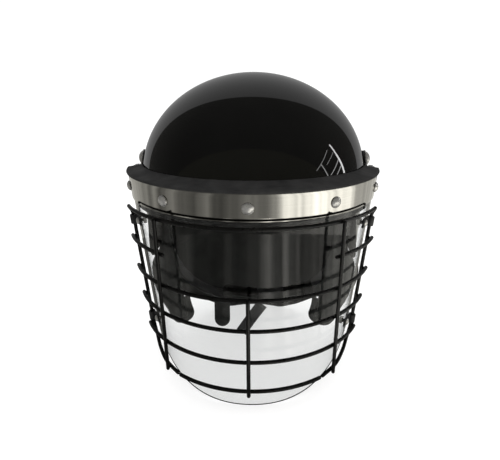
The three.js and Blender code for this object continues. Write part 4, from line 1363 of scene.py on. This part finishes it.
def dim_arch():
    """A dim board over the photographer, which gives the dome's front a dark olive sheen."""
    half, rear, height = 2.4, -0.4, 1.6
    corners = []
    for t in steps(24, 0, 180):
        corners.append((half * math.cos(rad(t)), rear - 1.2 * math.sin(rad(t)), 0.25 + height * math.sin(rad(t))))
    emitter(board("dim_arch", corners), 0.12, (1, 0.98, 0.78))


# Window slats to the right: where each one starts and ends, as (degrees round from the front, degrees
# up), with half its width in degrees and its brightness.
SLATS = [
    ((100, 26), (102, 15), 0.91, 9), ((102, 15), (107, -2), 1.12, 9), ((93, 24), (60, 3), 0.56, 4.5),
    ((77, 15), (84, -1), 0.63, 4.5), ((102, 11), (87, 1), 0.84, 4.5), ((103, 5), (94, -2), 0.77, 4.5),
    ((99, 19), (84, 12), 0.49, 4.5),
]
CHEEK, FAR = Vector((0.09, -0.05, 0.22)), 1.6


def window_slats():
    def seen_at(turn, rise):
        a, e = rad(turn), rad(rise)
        return CHEEK + FAR * Vector((math.sin(a) * math.cos(e), -math.cos(a) * math.cos(e), math.sin(e)))

    for i, (start, end, half, strength) in enumerate(SLATS, 1):
        corners = [seen_at(turn + side * half, rise) for turn, rise in (start, end) for side in (-1, 1)]
        slat = board(f"window_slat_{i}", [corners[0], corners[1], corners[3], corners[2]])
        emitter(slat, strength)


# How bright the room is round the helmet, as (degrees from the front, brightness): dim on the wearer's
# right and where the photographer stands, and bright on the other side, with a few narrow gaps.
ROOM = [
    (-180, 0.3), (-155, 0.2), (-144, 0.42), (-115, 0.3), (-92, 0.15), (-85, 0.22), (-79, 0.07),
    (-66, 0.2), (-58, 0.1), (-44, 0.08), (-34, 0.17), (-27, 0.06), (-12, 0.09), (-1, 0.16), (12, 0.13),
    (19, 0.3), (23, 0.8), (31, 1.15), (40, 0.95), (54, 1.4), (63, 1.35), (73, 0.95), (80, 1.3), (92, 1.0),
    (96, 0.42), (130, 0.42), (146, 0.55), (180, 0.3),
]
# The same for the floor close to the helmet, whose narrow bright lines show in the visor.
GLINTS = [
    (-180, 0.05), (-70, 0.1), (-52, 0.35), (-44, 0.08), (-24, 0.05), (-18, 0.25), (-12, 0.08), (-4, 0.1),
    (2, 0.35), (5, 0.15), (8, 0.7), (14, 1.5), (17, 0.6), (21, 0.75), (24, 0.55), (27, 1.6), (30, 0.6),
    (36, 0.7), (41, 0.3), (62, 0.5), (95, 0.4), (180, 0.05),
]


def room_ring(name, inner, outer, levels, unevenness):
    """A ring on the floor that holds the room's light and dark, with fine streaks across it."""
    turns = [rad(turn) for turn in steps(96, 0, 360)[:-1]]
    points = [(r * math.sin(turn), -r * math.cos(turn), 0.003) for turn in turns for r in (inner, outer)]
    top = max(level for _, level in levels)
    s = emitter(board(name, points, quads(len(turns), 2, True)), top)
    split = s.node("ShaderNodeSeparateXYZ")
    s.link(s.coordinates.outputs["Object"], split.inputs["Vector"])
    azimuth = s.maths("ARCTAN2", split.outputs["X"], s.maths("MULTIPLY", split.outputs["Y"], -1))
    share = s.maths("ADD", s.maths("DIVIDE", azimuth, 2 * math.pi), 0.5)
    stops = [((turn + 180) / 360, [level / top * c for c in (1, 0.985, 0.91)]) for turn, level in levels]
    s.colours(share, *stops, socket="Emission Color")
    streaks = s.node("ShaderNodeTexNoise", noise_dimensions="1D")
    streaks.inputs["Scale"].default_value = 60
    streaks.inputs["Detail"].default_value = 5
    s.link(share, streaks.inputs["W"])
    uneven = s.maths("ADD", s.maths("MULTIPLY", streaks.outputs["Fac"], unevenness), 1.25 - unevenness / 2)
    s.link(s.maths("MULTIPLY", uneven, top), s.shader.inputs["Emission Strength"])


def area(name, size, centre, power, colour=(1, 1, 1)):
    """A soft lamp aimed at the helmet, which no reflection shows."""
    light = bpy.data.lights.new(name, "AREA")
    light.shape = "RECTANGLE"
    light.size, light.size_y = size
    light.energy = power
    light.color = colour
    obj = bpy.data.objects.new(name, light)
    obj.location = centre
    obj.rotation_euler = (Vector((0, 0, 0.2)) - Vector(centre)).to_track_quat("-Z", "Y").to_euler()
    obj.visible_glossy = False
    bpy.context.scene.collection.objects.link(obj)


def studio_world():
    """White all round, but dark to reflections, which see the studio's boards instead."""
    world = bpy.data.worlds.new("studio")
    bpy.context.scene.world = world
    world.use_nodes = True
    tree = world.node_tree
    white = tree.nodes["Background"]
    white.inputs["Color"].default_value = (1, 1, 1, 1)
    white.inputs["Strength"].default_value = 1.1
    dark = tree.nodes.new("ShaderNodeBackground")
    dark.inputs["Color"].default_value = (1, 0.98, 0.92, 1)
    dark.inputs["Strength"].default_value = 0.07
    path = tree.nodes.new("ShaderNodeLightPath")
    mix = tree.nodes.new("ShaderNodeMixShader")
    tree.links.new(path.outputs["Glossy Depth"], mix.inputs["Fac"])
    tree.links.new(white.outputs[0], mix.inputs[1])
    tree.links.new(dark.outputs[0], mix.inputs[2])
    tree.links.new(mix.outputs[0], tree.nodes["World Output"].inputs["Surface"])


def pale_floor():
    bpy.ops.mesh.primitive_plane_add(size=14, location=(0, 0, -0.0002))
    floor = bpy.context.object
    floor.name = "floor"
    floor.data.materials.append(floor_paint())
    floor.visible_glossy = False


pale_floor()
studio_world()
pale_wall()
dim_arch()
window_slats()
room_ring("near_room", 0.16, 0.4, GLINTS, 2.0)
room_ring("far_room", 0.4, 1.6, ROOM, 1.3)
area("top_light", (1.6, 1.6), (0, 0.3, 2.2), 10)
area("right_side", (0.7, 1.6), (1.7, -0.4, 0.9), 8, (1, 0.96, 0.9))

# The photographer stood a little to the right and just above the brow, level, with the lens dropped.
camera = bpy.data.objects.new("camera", bpy.data.cameras.new("camera"))
camera.location = place((14.87, -445.2, 100.43))
camera.rotation_euler = (place((0, 0, 0)) - camera.location).to_track_quat("-Z", "Y").to_euler()
camera.data.lens = 31.0
camera.data.sensor_width = 36
camera.data.shift_x = -0.006
camera.data.shift_y = -0.084
camera.data.clip_start = 0.02
bpy.context.scene.collection.objects.link(camera)
bpy.context.scene.camera = camera
bpy.context.scene.view_settings.view_transform = "Standard"
